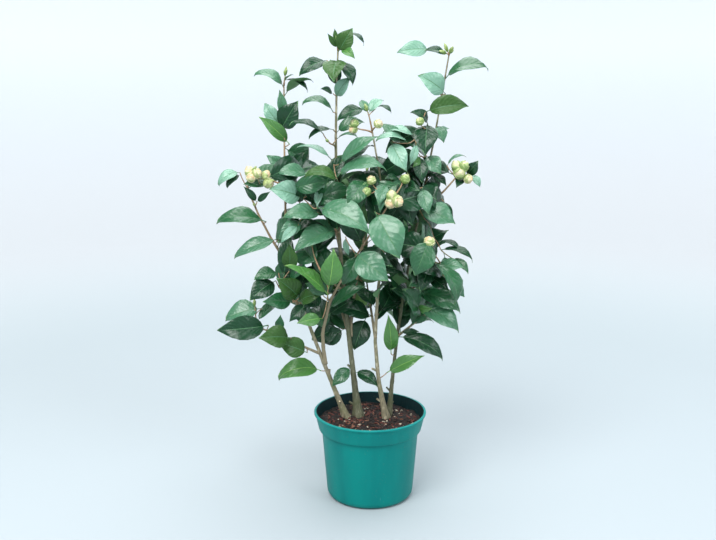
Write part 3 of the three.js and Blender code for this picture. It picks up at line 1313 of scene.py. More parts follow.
class Tone(Enum):
    """The colour of a leaf. DARK, GREEN, FRESH and OLIVE go by its age and the light it has grown in; MINT
    and SILVER are paler, bluer greens with painted sheen, which stand for reflected light.
    """

    DARK = 0
    GREEN = 1
    FRESH = 2
    # Painted sheen: a paler, bluer green that stands for the sky's reflection on leaves that face the light.
    MINT = 3
    # Painted reflection: a pale grey-green that stands for the white glint on leaves turned to the light.
    SILVER = 4
    OLIVE = 5


class Side(Enum):
    """The parts of a leaf."""

    UPPER = 0
    UNDER = 1
    RIB = 2


@dataclass(frozen=True)
class LeafForm:
    """One way that a leaf has grown, for a leaf one metre long.

    Attributes:
        width: Its greatest width.
        fold: How far each half lifts from the rib, in degrees.
        bend: How far the rib turns down over its length, in degrees.
        curl: How much more it turns down over its last quarter.
        twist: How far the tip is turned about the rib.
        sweep: How far the rib curves sideways.
        wave: Height of the waves of the margin.
        STATIONS: How far along the blade each of its rows lies.
        COLUMNS: How far across the blade each of its columns lies.
        STALK: Length of the stalk.
        STALK_RADIUS: Radius of the stalk.
        TIP_WIDTH: The least share of its width that the blade has anywhere.
        FULLEST: Under 1, the blade is widest nearer its foot.
        BULGE: How far each half bulges, as a share of its width.
        THICKNESS: Depth of the rib under the blade.
    """

    width: float
    fold: float
    bend: float
    curl: float
    twist: float
    sweep: float
    wave: float

    STATIONS = (0.0, 0.05, 0.14, 0.26, 0.40, 0.54, 0.68, 0.80, 0.90, 1.0)
    COLUMNS = (-1.0, -0.55, -0.03, 0.03, 0.55, 1.0)
    STALK = 0.1
    STALK_RADIUS = 0.011
    TIP_WIDTH = 0.012
    FULLEST = 0.78
    BULGE = 0.17
    THICKNESS = 0.008

    def half_width(self, along: float) -> float:
        """Finds half the leaf's width: an oval that is drawn out into a narrow tip.

        Args:
            along: How far along the blade, from 0 to 1.

        Returns:
            Half the width there.
        """
        body = math.sin(math.pi * along**self.FULLEST) ** 0.85 if 0 < along < 1 else 0.0
        drawn = 1 - 0.6 * (max(0.0, along - 0.6) / 0.4) ** 1.2
        return max(body * drawn, self.TIP_WIDTH) * self.width / 2

    def _spine(self) -> tuple[np.ndarray, np.ndarray]:
        """Finds how the rib runs, with the stalk's two points before its own.

        Returns:
            Its points, and its heading at each.
        """
        blade = self.STALK + (1 - self.STALK) * np.array(self.STATIONS)
        places = np.concatenate(((0.0, self.STALK / 2), blade))
        blade = (places - self.STALK) / (1 - self.STALK)
        curl = np.clip((blade - 0.7) / 0.3, 0, 1) ** 1.5
        pitch = -np.radians(self.bend * (places - 0.5) + self.curl * curl)
        yaw = np.radians(self.sweep * (places - 0.5) * 2)
        headings = np.stack((np.cos(pitch) * np.cos(yaw), np.sin(yaw), np.sin(pitch)), axis=1)
        steps = np.diff(places)[:, None] * (headings[1:] + headings[:-1]) / 2
        return np.vstack(((0.0, 0.0, 0.0), np.cumsum(steps, axis=0))), headings

    def shape(self) -> Shape:
        """Builds the leaf along X, from its foot at the origin to its tip at one metre.

        Returns:
            Its shape.
        """
        spine, headings = self._spine()
        rings = []
        places = []
        lift = math.radians(self.fold)
        for index, along in enumerate(self.STATIONS):
            heading = headings[index + 2]
            side = unit(np.cross(UP, heading))
            roll = math.radians(self.twist) * along
            over = np.cross(heading, side)
            side, over = (
                side * math.cos(roll) + over * math.sin(roll),
                over * math.cos(roll) - side * math.sin(roll),
            )
            half = self.half_width(along)
            ring = []
            for across in self.COLUMNS:
                margin = abs(across)
                wave = self.wave * math.sin(11 * along + 2 * across) * margin**2
                bulge = self.BULGE * half * (1 - (2 * margin - 1) ** 2)
                height = half * margin * math.sin(lift) + bulge + wave
                ring.append(spine[index + 2] + side * across * half * math.cos(lift) + over * height)
                places.append((along, (across + 1) / 2))
            ring.append(spine[index + 2] - over * self.THICKNESS * min(1.0, half * 8))
            places.append((along, 0.5))
            rings.append(ring)
        shape = Shape()
        upper, under, rib = (side.value for side in (Side.UPPER, Side.UNDER, Side.RIB))
        sheet = np.array(places).reshape(len(rings), -1, 2)
        strips = (upper, upper, rib, upper, upper, under, under)
        shape.skin(np.array(rings), strips, sharp=(0, 5), places=sheet)
        stalk = tube_rows(spine[:3], self.STALK_RADIUS * np.array((1.2, 0.9, 0.9)), 4)
        shape.skin(stalk, (rib,))
        tip = Vector(spine[-1])
        straight = tip.rotation_difference(Vector((1, 0, 0))).to_matrix().to_4x4()
        return shape.turned(Matrix.Scale(1 / tip.length, 4) @ straight)


class Form(Enum):
    """The ways that leaves have grown, by their number in the list of forms."""

    FLAT = 0
    ARCHED = 1
    DROOPING = 2
    FOLDED = 3
    WAVY = 4
    NARROW = 5
    SWEPT = 6
    BROAD = 7
    SLIM = 8


LEAF_FORMS = {
    Form.FLAT: LeafForm(0.50, 10, 32, 28, 6, 6, 0.016),
    Form.ARCHED: LeafForm(0.46, 12, 70, 40, -8, -8, 0.018),
    Form.DROOPING: LeafForm(0.44, 10, 96, 44, 8, 6, 0.016),
    Form.FOLDED: LeafForm(0.50, 24, 42, 36, 4, -6, 0.014),
    Form.WAVY: LeafForm(0.54, 14, 38, 56, -14, 10, 0.034),
    Form.NARROW: LeafForm(0.36, 20, 36, 24, 6, 4, 0.012),
    Form.SWEPT: LeafForm(0.46, 10, 58, 34, 16, -18, 0.020),
    Form.BROAD: LeafForm(0.64, 14, 38, 44, 8, 5, 0.024),
    Form.SLIM: LeafForm(0.34, 14, 68, 40, 8, -8, 0.014),
}
UPRIGHT_FORMS = (Form.FLAT, Form.FOLDED, Form.NARROW, Form.WAVY)
LEVEL_FORMS = (Form.FLAT, Form.ARCHED, Form.ARCHED, Form.WAVY, Form.SWEPT, Form.BROAD)
HANGING_FORMS = (Form.ARCHED, Form.FLAT, Form.SWEPT, Form.WAVY, Form.BROAD)
FORWARD: Triple = (0.0, -1.0, 0.35)
SLANTED: Triple = (0.0, -0.7, 0.7)
SKYWARD: Triple = (0.0, -0.3, 1.0)


@dataclass(frozen=True)
class Leaf:
    """One leading leaf of a spray, in half sizes of its mass from the mass's middle.

    Attributes:
        tip: Where its tip is.
        tone: Its tone.
        base: Where its foot is, or None to seat it on the nearest wood.
        form: How it has grown, or None to leave that to chance.
        face: The way that its upper side faces, or None to leave that to the light.
    """

    tip: Triple
    tone: Tone
    base: Triple | None = None
    form: Form | None = None
    face: Triple | None = None


@dataclass(frozen=True)
class Shoot:
    """The end of a shoot, in half sizes of its mass from the mass's middle.

    Attributes:
        tip: Where it ends.
        flowers: How many flower buds it carries. With none it ends in a leaf bud.
        size: How large they are, as a share of the usual size.
    """

    tip: Triple
    flowers: int = 0
    size: float = 1.0


class Region(Enum):
    """A part of the crown whose leaves are one piece."""

    LEADER = "leaves_of_leader"
    LEFT = "leaves_of_left_side"
    MIDDLE = "leaves_of_middle"
    RIGHT = "leaves_of_right_side"
    LOW = "leaves_of_low_growth"
    REAR = "leaves_of_rear"


@dataclass(frozen=True)
class Spray:
    """What grows in one foliage mass.

    Attributes:
        place: The place of the mass, which its CAD node's name gives after "leaves_".
        leaves: Its leading leaves, whose places are chosen.
        shoots: The ends of its shoots.
        more: How many leaves the seeded rule adds.
        tones: How likely each tone is, in the order of Tone.
        length: Length of a leaf.
        region: The part of the crown that it belongs to.
    """

    place: str
    leaves: tuple[Leaf, ...] = ()
    shoots: tuple[Shoot, ...] = ()
    more: int = 5
    tones: tuple[int, ...] = (6, 5, 0, 1, 0)
    length: float = 0.082
    region: Region = Region.REAR

    @property
    def mass(self) -> str:
        """The CAD node that it fills."""
        return f"leaves_{self.place}"


# Short names for the tones and forms, so that each leaf of the tables below takes one line. M and S are the
# tones with painted sheen.
D, G, F, M, S, O = Tone
FLAT, ARCHED, DROOPING, FOLDED, WAVY, NARROW, SWEPT, BROAD, SLIM = Form
LEADER_SPRAYS = (
    Spray("leader_tip", (
        Leaf((0.6, -0.35, 0.92), O, (-0.25, 0, -0.6), BROAD, (0.15, -0.85, 0.5)),
        Leaf((1.25, 0.2, -0.2), D, (0.2, 0.2, 0.6), DROOPING, SKYWARD),
        Leaf((0.75, -0.8, -1.1), F, (-0.1, -0.1, -0.4), FOLDED, FORWARD),
        Leaf((-0.92, -0.3, 0.6), O, (-0.4, 0, -0.3), NARROW),
        Leaf((-0.5, 0.1, 0.95), O, (-0.38, 0, -0.1), NARROW),
        Leaf((0.1, 0.9, 0.4), G, (-0.3, 0, -0.5), FLAT),
    ), (Shoot((-0.36, 0, 0.1)),), more=0, length=0.045),
    Spray("leader_top", (
        Leaf((-1.02, -0.4, 0.05), D, (-0.1, 0, 0.9), ARCHED, (-0.1, -0.8, 0.6)),
        Leaf((0.18, -1.1, -0.3), O, (0.3, 0, 0.98), BROAD, (-0.1, -0.95, 0.3)),
        Leaf((0.78, -0.4, -0.45), D, (0.25, 0, 0.85), DROOPING, (0.5, -0.8, 0.5)),
        Leaf((0.75, -0.3, -0.05), S, (0.16, 0, -1.2), ARCHED, FORWARD),
        Leaf((-0.3, -0.4, -0.65), D, (0.12, 0, -0.9), FLAT),
    ), more=2, length=0.06),
    Spray("leader_side", (
        Leaf((-0.45, -0.3, 0.55), G, (0.8, 0.1, 0.2), DROOPING, (0, -0.5, 0.85)),
        Leaf((-1, -0.3, -0.52), D, (0.38, -0.1, -0.9), ARCHED, SKYWARD),
        Leaf((-0.18, -0.3, -1.2), D, (0.8, 0, -0.7), ARCHED, SKYWARD),
        Leaf((-0.78, 0.2, -1.76), S, (0.75, 0, -2.3), SLIM, SKYWARD),
    ), (Shoot((0.6, -0.4, -1.3)),), more=0, length=0.066),
)
LEFT_SPRAYS = (
    Spray("left_shoot_tip", (
        Leaf((-1.03, -0.3, 0.4), M, (-0.05, 0, -0.6), DROOPING, (-0.2, -0.6, 0.8)),
        Leaf((0.84, -0.3, -0.98), D, (0.07, 0, 0.1), SLIM, SKYWARD),
        Leaf((0.4, -0.6, 0.5), G, (0.05, 0, 0), NARROW),
    ), (Shoot((0.05, -0.1, 0.45), 0, 1.3),), more=0, length=0.055),
    Spray("left_shoot", (
        Leaf((0.95, -0.4, 0.75), D, (0, 0, -0.45), BROAD, FORWARD),
        Leaf((0, -0.2, 1.2), M, (0.1, 0, 0), NARROW, FORWARD),
        Leaf((-0.8, 0.1, 0.65), S, (0, 0, -0.3), ARCHED, FORWARD),
        Leaf((-1.05, -0.5, 0.1), F, (0.45, 0, -1.05), NARROW, FORWARD),
    ), more=0, length=0.06),
    Spray("left_shoot_foot", (
        Leaf((-1, -0.3, -0.2), M, (0.1, 0, -1.75), ARCHED, FORWARD),
        Leaf((0.99, -0.3, 0.27), D, (0.15, 0, -1.3), NARROW, FORWARD),
    ), more=0, length=0.055),
    Spray("left_arm_tip", (
        Leaf((-0.8, -0.3, 0), S, (-0.1, 0, 0.65), DROOPING, SLANTED),
        Leaf((-0.52, -0.2, -0.1), D, (-0.05, 0, 0.6), DROOPING, SLANTED),
        Leaf((0.05, -0.4, 0.1), G, (0.6, 0, 0.05), FLAT),
        Leaf((0.05, -0.4, 0), D, (0.47, -0.1, -0.8), NARROW, FORWARD),
        Leaf((0.97, -0.4, -0.25), D, (0.48, -0.1, -0.85), NARROW, FORWARD),
    ), (Shoot((0.36, -0.3, 0.6), 4, 1.1), Shoot((0.8, -0.3, 0.35), 2), Shoot((0.42, -0.5, -0.9))),
    more=0, length=0.06),
    Spray("left_arm", (
        Leaf((-0.97, -0.3, 0.4), G, (0.62, 0, 0.47), ARCHED, (0, -0.5, 0.85)),
        Leaf((-0.42, -0.3, -1.12), M, (1.0, 0, -0.3), SLIM, SLANTED),
    ), more=0),
    Spray("left_crown", (
        Leaf((-0.8, -0.4, 0.52), M, (0.15, -0.1, 0.5), ARCHED, SLANTED),
        Leaf((0.08, -1.05, 0.45), O, (1.05, -0.7, 0.3), DROOPING, (0, -0.6, 0.8)),
        Leaf((-0.97, -0.7, 0.05), S, (-0.05, -0.2, -0.3), BROAD, FORWARD),
        Leaf((-0.12, -0.5, 0.15), D, (-0.15, 0, -0.5), NARROW, FORWARD),
        Leaf((0.4, -0.5, -0.6), S, (0.5, 0, 0), NARROW, FORWARD),
        Leaf((0.15, -0.3, 0.15), S, (0.75, 0, 0.05), WAVY, SLANTED),
        Leaf((-0.58, -0.7, -0.93), M, (0.5, -0.2, -0.85), ARCHED, SLANTED),
    ), (Shoot((-0.2, -0.4, 0.2)),), more=9),
    Spray("left_middle", (
        Leaf((-0.88, -0.5, 0.28), M, (-0.25, -0.1, 0.9), ARCHED, FORWARD),
        Leaf((-0.8, -0.8, 0.19), S, (-0.3, -0.4, 0.76), NARROW, FORWARD),
        Leaf((-0.42, -0.6, -0.15), M, (0.75, 0.3, 0.46), FOLDED, SLANTED),
        Leaf((-0.55, -0.6, 0.16), O, (-0.6, -0.3, -0.9), FLAT, FORWARD),
    ), (Shoot((0.1, -0.4, 0)),), more=10),
    Spray("left_side", (
        Leaf((-0.79, -0.4, 0.48), G, (0, 0, 0.73), BROAD, SLANTED),
        Leaf((-0.93, -0.6, -0.45), D, (-0.1, 0, 0.35), BROAD, FORWARD),
        Leaf((-0.5, -0.7, -0.5), G, (0.48, 0, -0.74), FLAT, FORWARD),
        Leaf((0, -0.9, 0.7), O, (0.72, -0.3, -0.4), BROAD, FORWARD),
        Leaf((0.1, -0.1, 0.75), D, (0.55, 0, 0.5), FLAT),
        Leaf((0.85, -0.2, -0.95), D, (1.5, 0.2, -0.4), BROAD, FORWARD),
        Leaf((0.38, -0.3, -1.6), D, (1.0, 0, -0.8), FLAT, FORWARD),
    ), more=3, tones=(4, 4, 0, 0, 0, 2), length=0.065),
    Spray("left_low", (
        Leaf((-0.72, 0.1, 0.25), M, (0.3, 0.2, 0.8), BROAD, SLANTED),
        Leaf((-0.9, -0.6, 0.04), D, (0.5, -0.1, 0.12), FOLDED, FORWARD),
        Leaf((0.28, -0.8, -0.25), O, (1.13, -0.1, -0.45), BROAD, FORWARD),
        Leaf((0.86, -0.2, 0.62), G, (0.78, 0, -0.15), FLAT, FORWARD),
    ), (Shoot((0.12, 0, 0.95)),), more=0, length=0.07),
    Spray("left_low_front", (
        Leaf((-0.85, -0.6, 0.3), O, (0.7, -0.2, -0.5), BROAD, FORWARD),
    ), more=0, length=0.06),
)
MIDDLE_SPRAYS = (
    Spray("front_left", (
        Leaf((0.42, -0.5, 1.6), F, (0.22, -0.2, -0.24), FLAT, FORWARD),
        Leaf((-1.3, -0.3, 0.8), F, (0.2, -0.1, -0.5), SWEPT, (0.2, -0.4, 0.9)),
        Leaf((-0.6, 0.3, -0.1), G, (0.3, 0.1, -0.5), FLAT),
        Leaf((-0.87, -0.4, -1.7), F, (0, 0, -1.6), FLAT, FORWARD),
    ), more=4, tones=(3, 5, 0, 0, 0, 2), length=0.065),
    Spray("front", (
        Leaf((0.14, -0.2, 0.14), M, (-1.2, 0.9, 0.72), FOLDED, (0, -0.7, 0.7)),
        Leaf((0.9, -0.3, -0.44), M, (0.28, 0.5, 0.66), BROAD, (0.2, -0.95, 0.3)),
        Leaf((0.62, -0.3, -1), M, (-0.23, 0.4, -0.37), BROAD, (0, -0.9, 0.4)),
        Leaf((-0.38, 0.8, -0.48), S, (-0.47, 0.8, 0), NARROW),
    ), more=0),
    Spray("centre_high", (
        Leaf((-0.05, -0.8, -0.55), G, (0.5, -0.3, 0.65), WAVY, FORWARD),
        Leaf((0.85, -0.6, -0.75), M, (1, -0.2, 0.55), NARROW, FORWARD),
        Leaf((0.3, -0.5, 0.3), F, (0.6, -0.3, 0.5), FLAT),
    ), (Shoot((0.62, -0.5, 0.5), 1), Shoot((0.56, -0.6, 0.1), 1)), more=9),
    Spray("centre_top", (
        Leaf((-1, -0.3, -0.1), D, (0, 0, 0.55), ARCHED, SLANTED),
        Leaf((0.97, -0.2, 0.26), D, (0.45, 0, 0.65), DROOPING, SKYWARD),
        Leaf((0.7, 0.3, 0.95), S, (0.1, 0, 0.3), ARCHED, SLANTED),
        Leaf((-0.15, 0.3, 0.95), M, (0.1, 0, 0.3), ARCHED, SLANTED),
        Leaf((-0.25, -0.3, -1.1), M, (-1.05, 0.2, -1.1), ARCHED, SKYWARD),
    ), (Shoot((-0.36, -0.3, -0.45), 2), Shoot((0.42, -0.3, -0.35), 1), Shoot((0.1, -0.2, 0.4))),
    more=2, tones=(2, 3, 1, 2, 1), length=0.055),
    Spray("centre_crown", (
        Leaf((0, -0.6, 1.06), M, (-1.13, -0.1, -0.34), NARROW, (0.1, -0.65, 0.75)),
        Leaf((-0.1, -0.4, 0.8), S, (0.8, 0, 0.7), ARCHED, SKYWARD),
        Leaf((0.1, 0.2, 1.15), S, (1.02, 0.2, 0.9), ARCHED, SKYWARD),
        Leaf((0.18, -0.9, -0.6), M, (-1.17, -0.2, -1), ARCHED, (0, -0.5, 0.85)),
        Leaf((0.74, -0.7, -0.63), S, (0.32, -0.1, 0.8), FLAT, FORWARD),
        Leaf((0.85, -0.2, -0.4), S, (1.05, 0, 0.7), NARROW),
        Leaf((0.14, -0.9, -0.96), D, (0.55, -0.5, -1), FLAT, SLANTED),
    ), more=9, tones=(8, 4, 0, 0, 0)),
    Spray("right_front", (
        Leaf((-0.83, -0.8, 0.1), M, (-0.5, -0.3, 0.95), FLAT, FORWARD),
        Leaf((0.4, -0.2, -0.8), D, (0.1, 0.2, 0.75), FLAT, FORWARD),
        Leaf((0.95, -0.5, -0.3), M, (0.75, 0, 0.7), FLAT, FORWARD),
        Leaf((0.6, -0.7, 0.65), D, (0.05, -0.2, 0.75), FLAT, FORWARD),
    ), (Shoot((-0.35, -0.75, 0.3), 3, 1.2), Shoot((0, -0.5, 0.95), 1)), more=8, tones=(8, 4, 0, 0, 0)),
    Spray("right_inner", more=14, tones=(9, 3, 0, 0, 0)),
)
RIGHT_SPRAYS = (
    Spray("right_tip", (
        Leaf((-1.02, -0.2, 0.35), S, (-0.26, 0, 0.5), FLAT, FORWARD),
        Leaf((-0.4, -0.3, 0.44), D, (0.1, 0, 0.3), FLAT, SLANTED),
        Leaf((1.03, -0.2, -0.51), G, (0.12, 0, -0.85), DROOPING, (0, -0.5, 0.85)),
        Leaf((-0.55, -0.4, -0.72), S, (0.1, 0, -1.55), BROAD, FORWARD),
    ), (
        Shoot((0.13, 0, 0.4), 0, 1.2), Shoot((0.17, -0.1, 0.33), 0, 1.2),
        Shoot((0.09, -0.1, 0.33), 0, 1.2),
    ), more=0),
    Spray("right_tip_side", (
        Leaf((1.04, -0.5, -0.6), O, (-0.72, -0.4, -0.95), FOLDED, (-0.1, -0.9, 0.4)),
    ), (Shoot((-0.26, -0.1, 0.45), 0, 0.9),), more=0),
    Spray("right_tip_foot", (
        Leaf((-0.25, -0.9, -1.15), D, (-0.1, 0, 0.5), BROAD, FORWARD),
        Leaf((-1, -0.5, 1.05), D, (0, 0, 0.5), DROOPING, (0, -0.85, 0.5)),
        Leaf((0.7, -0.3, -0.5), M, (0.35, 0, 0.4), BROAD),
        Leaf((0.98, 0, 0.2), S, (0.35, 0, 0.1), FLAT),
    ), (Shoot((-0.5, -0.6, 0.45), 1),), more=0),
    Spray("right_crown", (
        Leaf((-0.75, -0.7, 0.4), F, (-0.4, -0.3, 0.85), FLAT),
        Leaf((-0.3, -0.7, -0.3), D, (-0.35, 0, 0.9), FLAT, FORWARD),
        Leaf((0.5, -0.6, 0.1), M, (-0.1, 0, 0.85), BROAD, FORWARD),
        Leaf((0.3, -0.7, -1), D, (-0.1, 0, -0.3), BROAD, FORWARD),
        Leaf((0.75, -0.4, -0.45), D, (0.2, 0, 0.1), FLAT),
    ), more=3),
    Spray("right_arm_tip", (
        Leaf((0.65, -0.3, 0.8), D, (0.2, 0, 0.1), BROAD, FORWARD),
        Leaf((0.75, -0.3, -0.45), S, (0.4, 0, 0.1), DROOPING, SLANTED),
        Leaf((-0.3, -0.6, -0.45), D, (0.1, 0, 0), FLAT, FORWARD),
        Leaf((0.15, -0.1, 0.95), M, (-0.65, 0, 0.55), ARCHED, SKYWARD),
    ), (Shoot((-0.15, -0.4, 0.4), 3, 1.2), Shoot((0.1, -0.4, 0), 1)), more=0, length=0.05),
    Spray("right_middle", (
        Leaf((0.72, -0.5, 0.15), M, (-0.45, -0.2, 0.7), BROAD, SLANTED),
        Leaf((0.7, -0.1, 0.35), D, (0.4, 0, 0.95), NARROW, FORWARD),
        Leaf((-0.3, -0.6, -0.6), D, (-0.1, 0, 0.1), FLAT),
        Leaf((0.95, -0.2, -1), D, (0.2, 0, -0.65), SLIM, SKYWARD),
    ), (Shoot((-0.15, -1.1, -0.6), 1, 1.2),), more=8),
    Spray("right_shoulder", (
        Leaf((-1.08, -1.2, 0.2), G, (-0.6, -1, 1.6), BROAD, (0.2, -0.9, 0.3)),
        Leaf((0.95, -0.3, 0.5), D, (-0.1, 0, 0.95), SLIM, SKYWARD),
        Leaf((0.8, -0.4, 0.05), G, (0.3, 0, 0.6), SLIM, SLANTED),
        Leaf((0.65, -0.6, 0.35), M, (-0.3, -0.1, 0.35), FLAT, SLANTED),
        Leaf((0.25, -0.9, -1.05), G, (-0.45, -0.4, 0.55), DROOPING, (0.7, -0.5, 0.6)),
        Leaf((0.15, -0.6, -0.6), D, (-0.5, 0, -0.1), FLAT),
        Leaf((0.74, -0.1, -0.97), M, (0.25, 0, -0.25), FLAT, FORWARD),
        Leaf((-0.85, -0.7, -0.6), D, (-0.4, -0.1, 0.5), FLAT, FORWARD),
    ), more=2, length=0.07),
    Spray("right_low", (
        Leaf((0.98, -0.3, -0.1), G, (-0.8, 0, 0.85), ARCHED, SLANTED),
        Leaf((0.9, -0.5, -1.05), M, (-0.75, -0.1, 0.15), ARCHED, SLANTED),
        Leaf((-0.1, -0.3, -0.6), M, (-1.05, 0, -0.9), ARCHED, SKYWARD),
        Leaf((-0.2, -0.6, 0.3), F, (-0.8, 0, 0.1), FLAT),
    ), more=1),
)
LOW_SPRAYS = (
    Spray("left_foot", (
        Leaf((-1.07, -0.5, -1.4), F, (0.62, 0, -0.5), DROOPING, (0, -0.65, 0.75)),
    ), more=0),
    Spray("right_spray", (
        Leaf((1.05, -0.3, -0.53), D, (-0.6, 0, 0.6), SLIM, (0, -0.65, 0.75)),
        Leaf((0.38, -0.6, -0.18), F, (-1, 0, -1.2), NARROW, (0, -0.75, 0.65)),
        Leaf((-0.98, -0.5, 1.8), F, (-0.85, -0.1, -0.2), NARROW, FORWARD),
        Leaf((0.2, 0, 0.85), D, (-0.5, 0, 0.8), NARROW),
    ), more=0),
    Spray("centre_low", (
        Leaf((1.05, -0.7, 0.85), G, (-0.5, -0.2, -0.65), NARROW, (-0.3, -0.6, 0.8)),
        Leaf((-1.35, 0.7, -2.85), D, (-0.1, 0.7, -2.1), BROAD, FORWARD),
        Leaf((0.53, 0.6, -3.4), D, (1.05, 0.9, -1.5), BROAD, FORWARD),
        Leaf((-0.85, 0.9, -3.1), D, (0.1, 0.8, -2.0), BROAD, FORWARD),
    ), more=5, tones=(7, 3, 1, 0, 0), length=0.07),
    Spray("centre_foot", (
        Leaf((-0.97, -0.6, -0.8), G, (-0.05, 0, 0.95), FLAT, FORWARD),
        Leaf((1.05, -0.4, -1), D, (0.05, 0, 0.3), ARCHED, SLANTED),
    ), more=0),
)
REAR_SPRAYS = tuple(
    Spray(f"rear_{side}_{tier}", shoots=(Shoot((0, 0.4, 0.6), flowers),), more=20)
    for side, flowers in (("left", 1), ("middle", 0), ("right", 2))
    for tier in ("low", "high")
)
# One group of sprays for each Region, in the order of Region.
CROWN = (LEADER_SPRAYS, LEFT_SPRAYS, MIDDLE_SPRAYS, RIGHT_SPRAYS, LOW_SPRAYS, REAR_SPRAYS)
SPRAYS = [replace(spray, region=region) for region, sprays in zip(Region, CROWN) for spray in sprays]


class Wood:
    """All the wood grown so far, as points along its centre lines.

    Attributes:
        STEP: How far apart the points are.
        CLOSEST: The least distance that is told apart from none.
        THICK: Radius above which wood is a worse seat.
        BEST_LEAN: How far a leaf leans along its wood at best, from 0 to 1.
        CROWDING: How much worse a seat is right beside something that grows.
        CROWD_REACH: How far along that reaches.
        points: The points.
        headings: The wood's heading at each point.
        radii: Its radius there.
        crowding: How crowded it is there.
        ends: The number of each line's last point.
    """

    STEP = 0.004
    CLOSEST = 1e-6
    THICK = 0.004
    BEST_LEAN = 0.4
    CROWDING = 1.2
    CROWD_REACH = 0.008

    def __init__(self, lines: Iterable[Line]) -> None:
        """Starts with the limbs.

        Args:
            lines: The centre lines of the limbs.
        """
        self.points = np.empty((0, 3))
        self.headings = np.empty((0, 3))
        self.radii = np.empty(0)
        self.crowding = np.empty(0)
        self.ends: list[int] = []
        for line in lines:
            self.add(line)

    def add(self, line: Line) -> None:
        """Adds a limb or twig.

        Args:
            line: Its centre line.
        """
        even = line.even(self.STEP)
        self.points = np.vstack((self.points, even.points))
        self.headings = np.vstack((self.headings, frames_along(even.points)[0]))
        self.radii = np.concatenate((self.radii, even.radii))
        self.crowding = np.concatenate((self.crowding, np.zeros(len(even.points))))
        self.ends.append(len(self.points) - 1)

    def _ways(self, tip: np.ndarray) -> tuple[np.ndarray, np.ndarray]:
        """How far each point lies from a tip, and how far the way there leans along the wood."""
        ways = tip - self.points
        distances = np.maximum(np.linalg.norm(ways, axis=1), self.CLOSEST)
        return distances, np.einsum("ij,ij->i", ways, self.headings) / distances

    def seat_for_leaf(self, tip: np.ndarray, length: float) -> int:
        """Finds where a leaf grows from.

        Args:
            tip: Where its tip is to be.
            length: How long it would best be.

        Returns:
            The number of the wood's point.
        """
        distances, leaning = self._ways(tip)
        misfit = (distances - length) / length
        cost = np.where(misfit > 0, 4.0, 6.0) * misfit**2 + 0.7 * (leaning - self.BEST_LEAN) ** 2
        cost += self.crowding + 60 * np.maximum(self.radii - self.THICK, 0)
        return int(np.argmin(cost))

    def seat_for_twig(self, tip: np.ndarray) -> int:
        """Finds where a twig leaves the wood.

        Args:
            tip: Where it is to end.

        Returns:
            The number of the wood's point.
        """
        distances, leaning = self._ways(tip)
        cost = distances * (1 + 0.7 * (1 - leaning)) + 1.5 * np.maximum(self.radii - self.THICK, 0)
        return int(np.argmin(cost))

    def crowd(self, index: int) -> None:
        """Marks that something grows here, so that the next thing grows elsewhere."""
        apart = np.linalg.norm(self.points - self.points[index], axis=1)
        self.crowding += self.CROWDING * np.exp(-((apart / self.CROWD_REACH) ** 2))


@dataclass(frozen=True)
class Plot:
    """A spray in its place.

    Attributes:
        spray: The spray.
        middle: The middle of its mass.
        half: Half the size of its mass.
        dice: Its own chance.
    """

    spray: Spray
    middle: np.ndarray
    half: np.ndarray
    dice: random.Random

    def spot(self, place: Triple | np.ndarray) -> np.ndarray:
        """Where a place lies that is given in half sizes of the mass from its middle."""
        return self.middle + self.half * place

    def tone(self) -> Tone:
        """Deals a tone by the spray's chances."""
        return self.dice.choices(list(Tone)[: len(self.spray.tones)], self.spray.tones)[0]


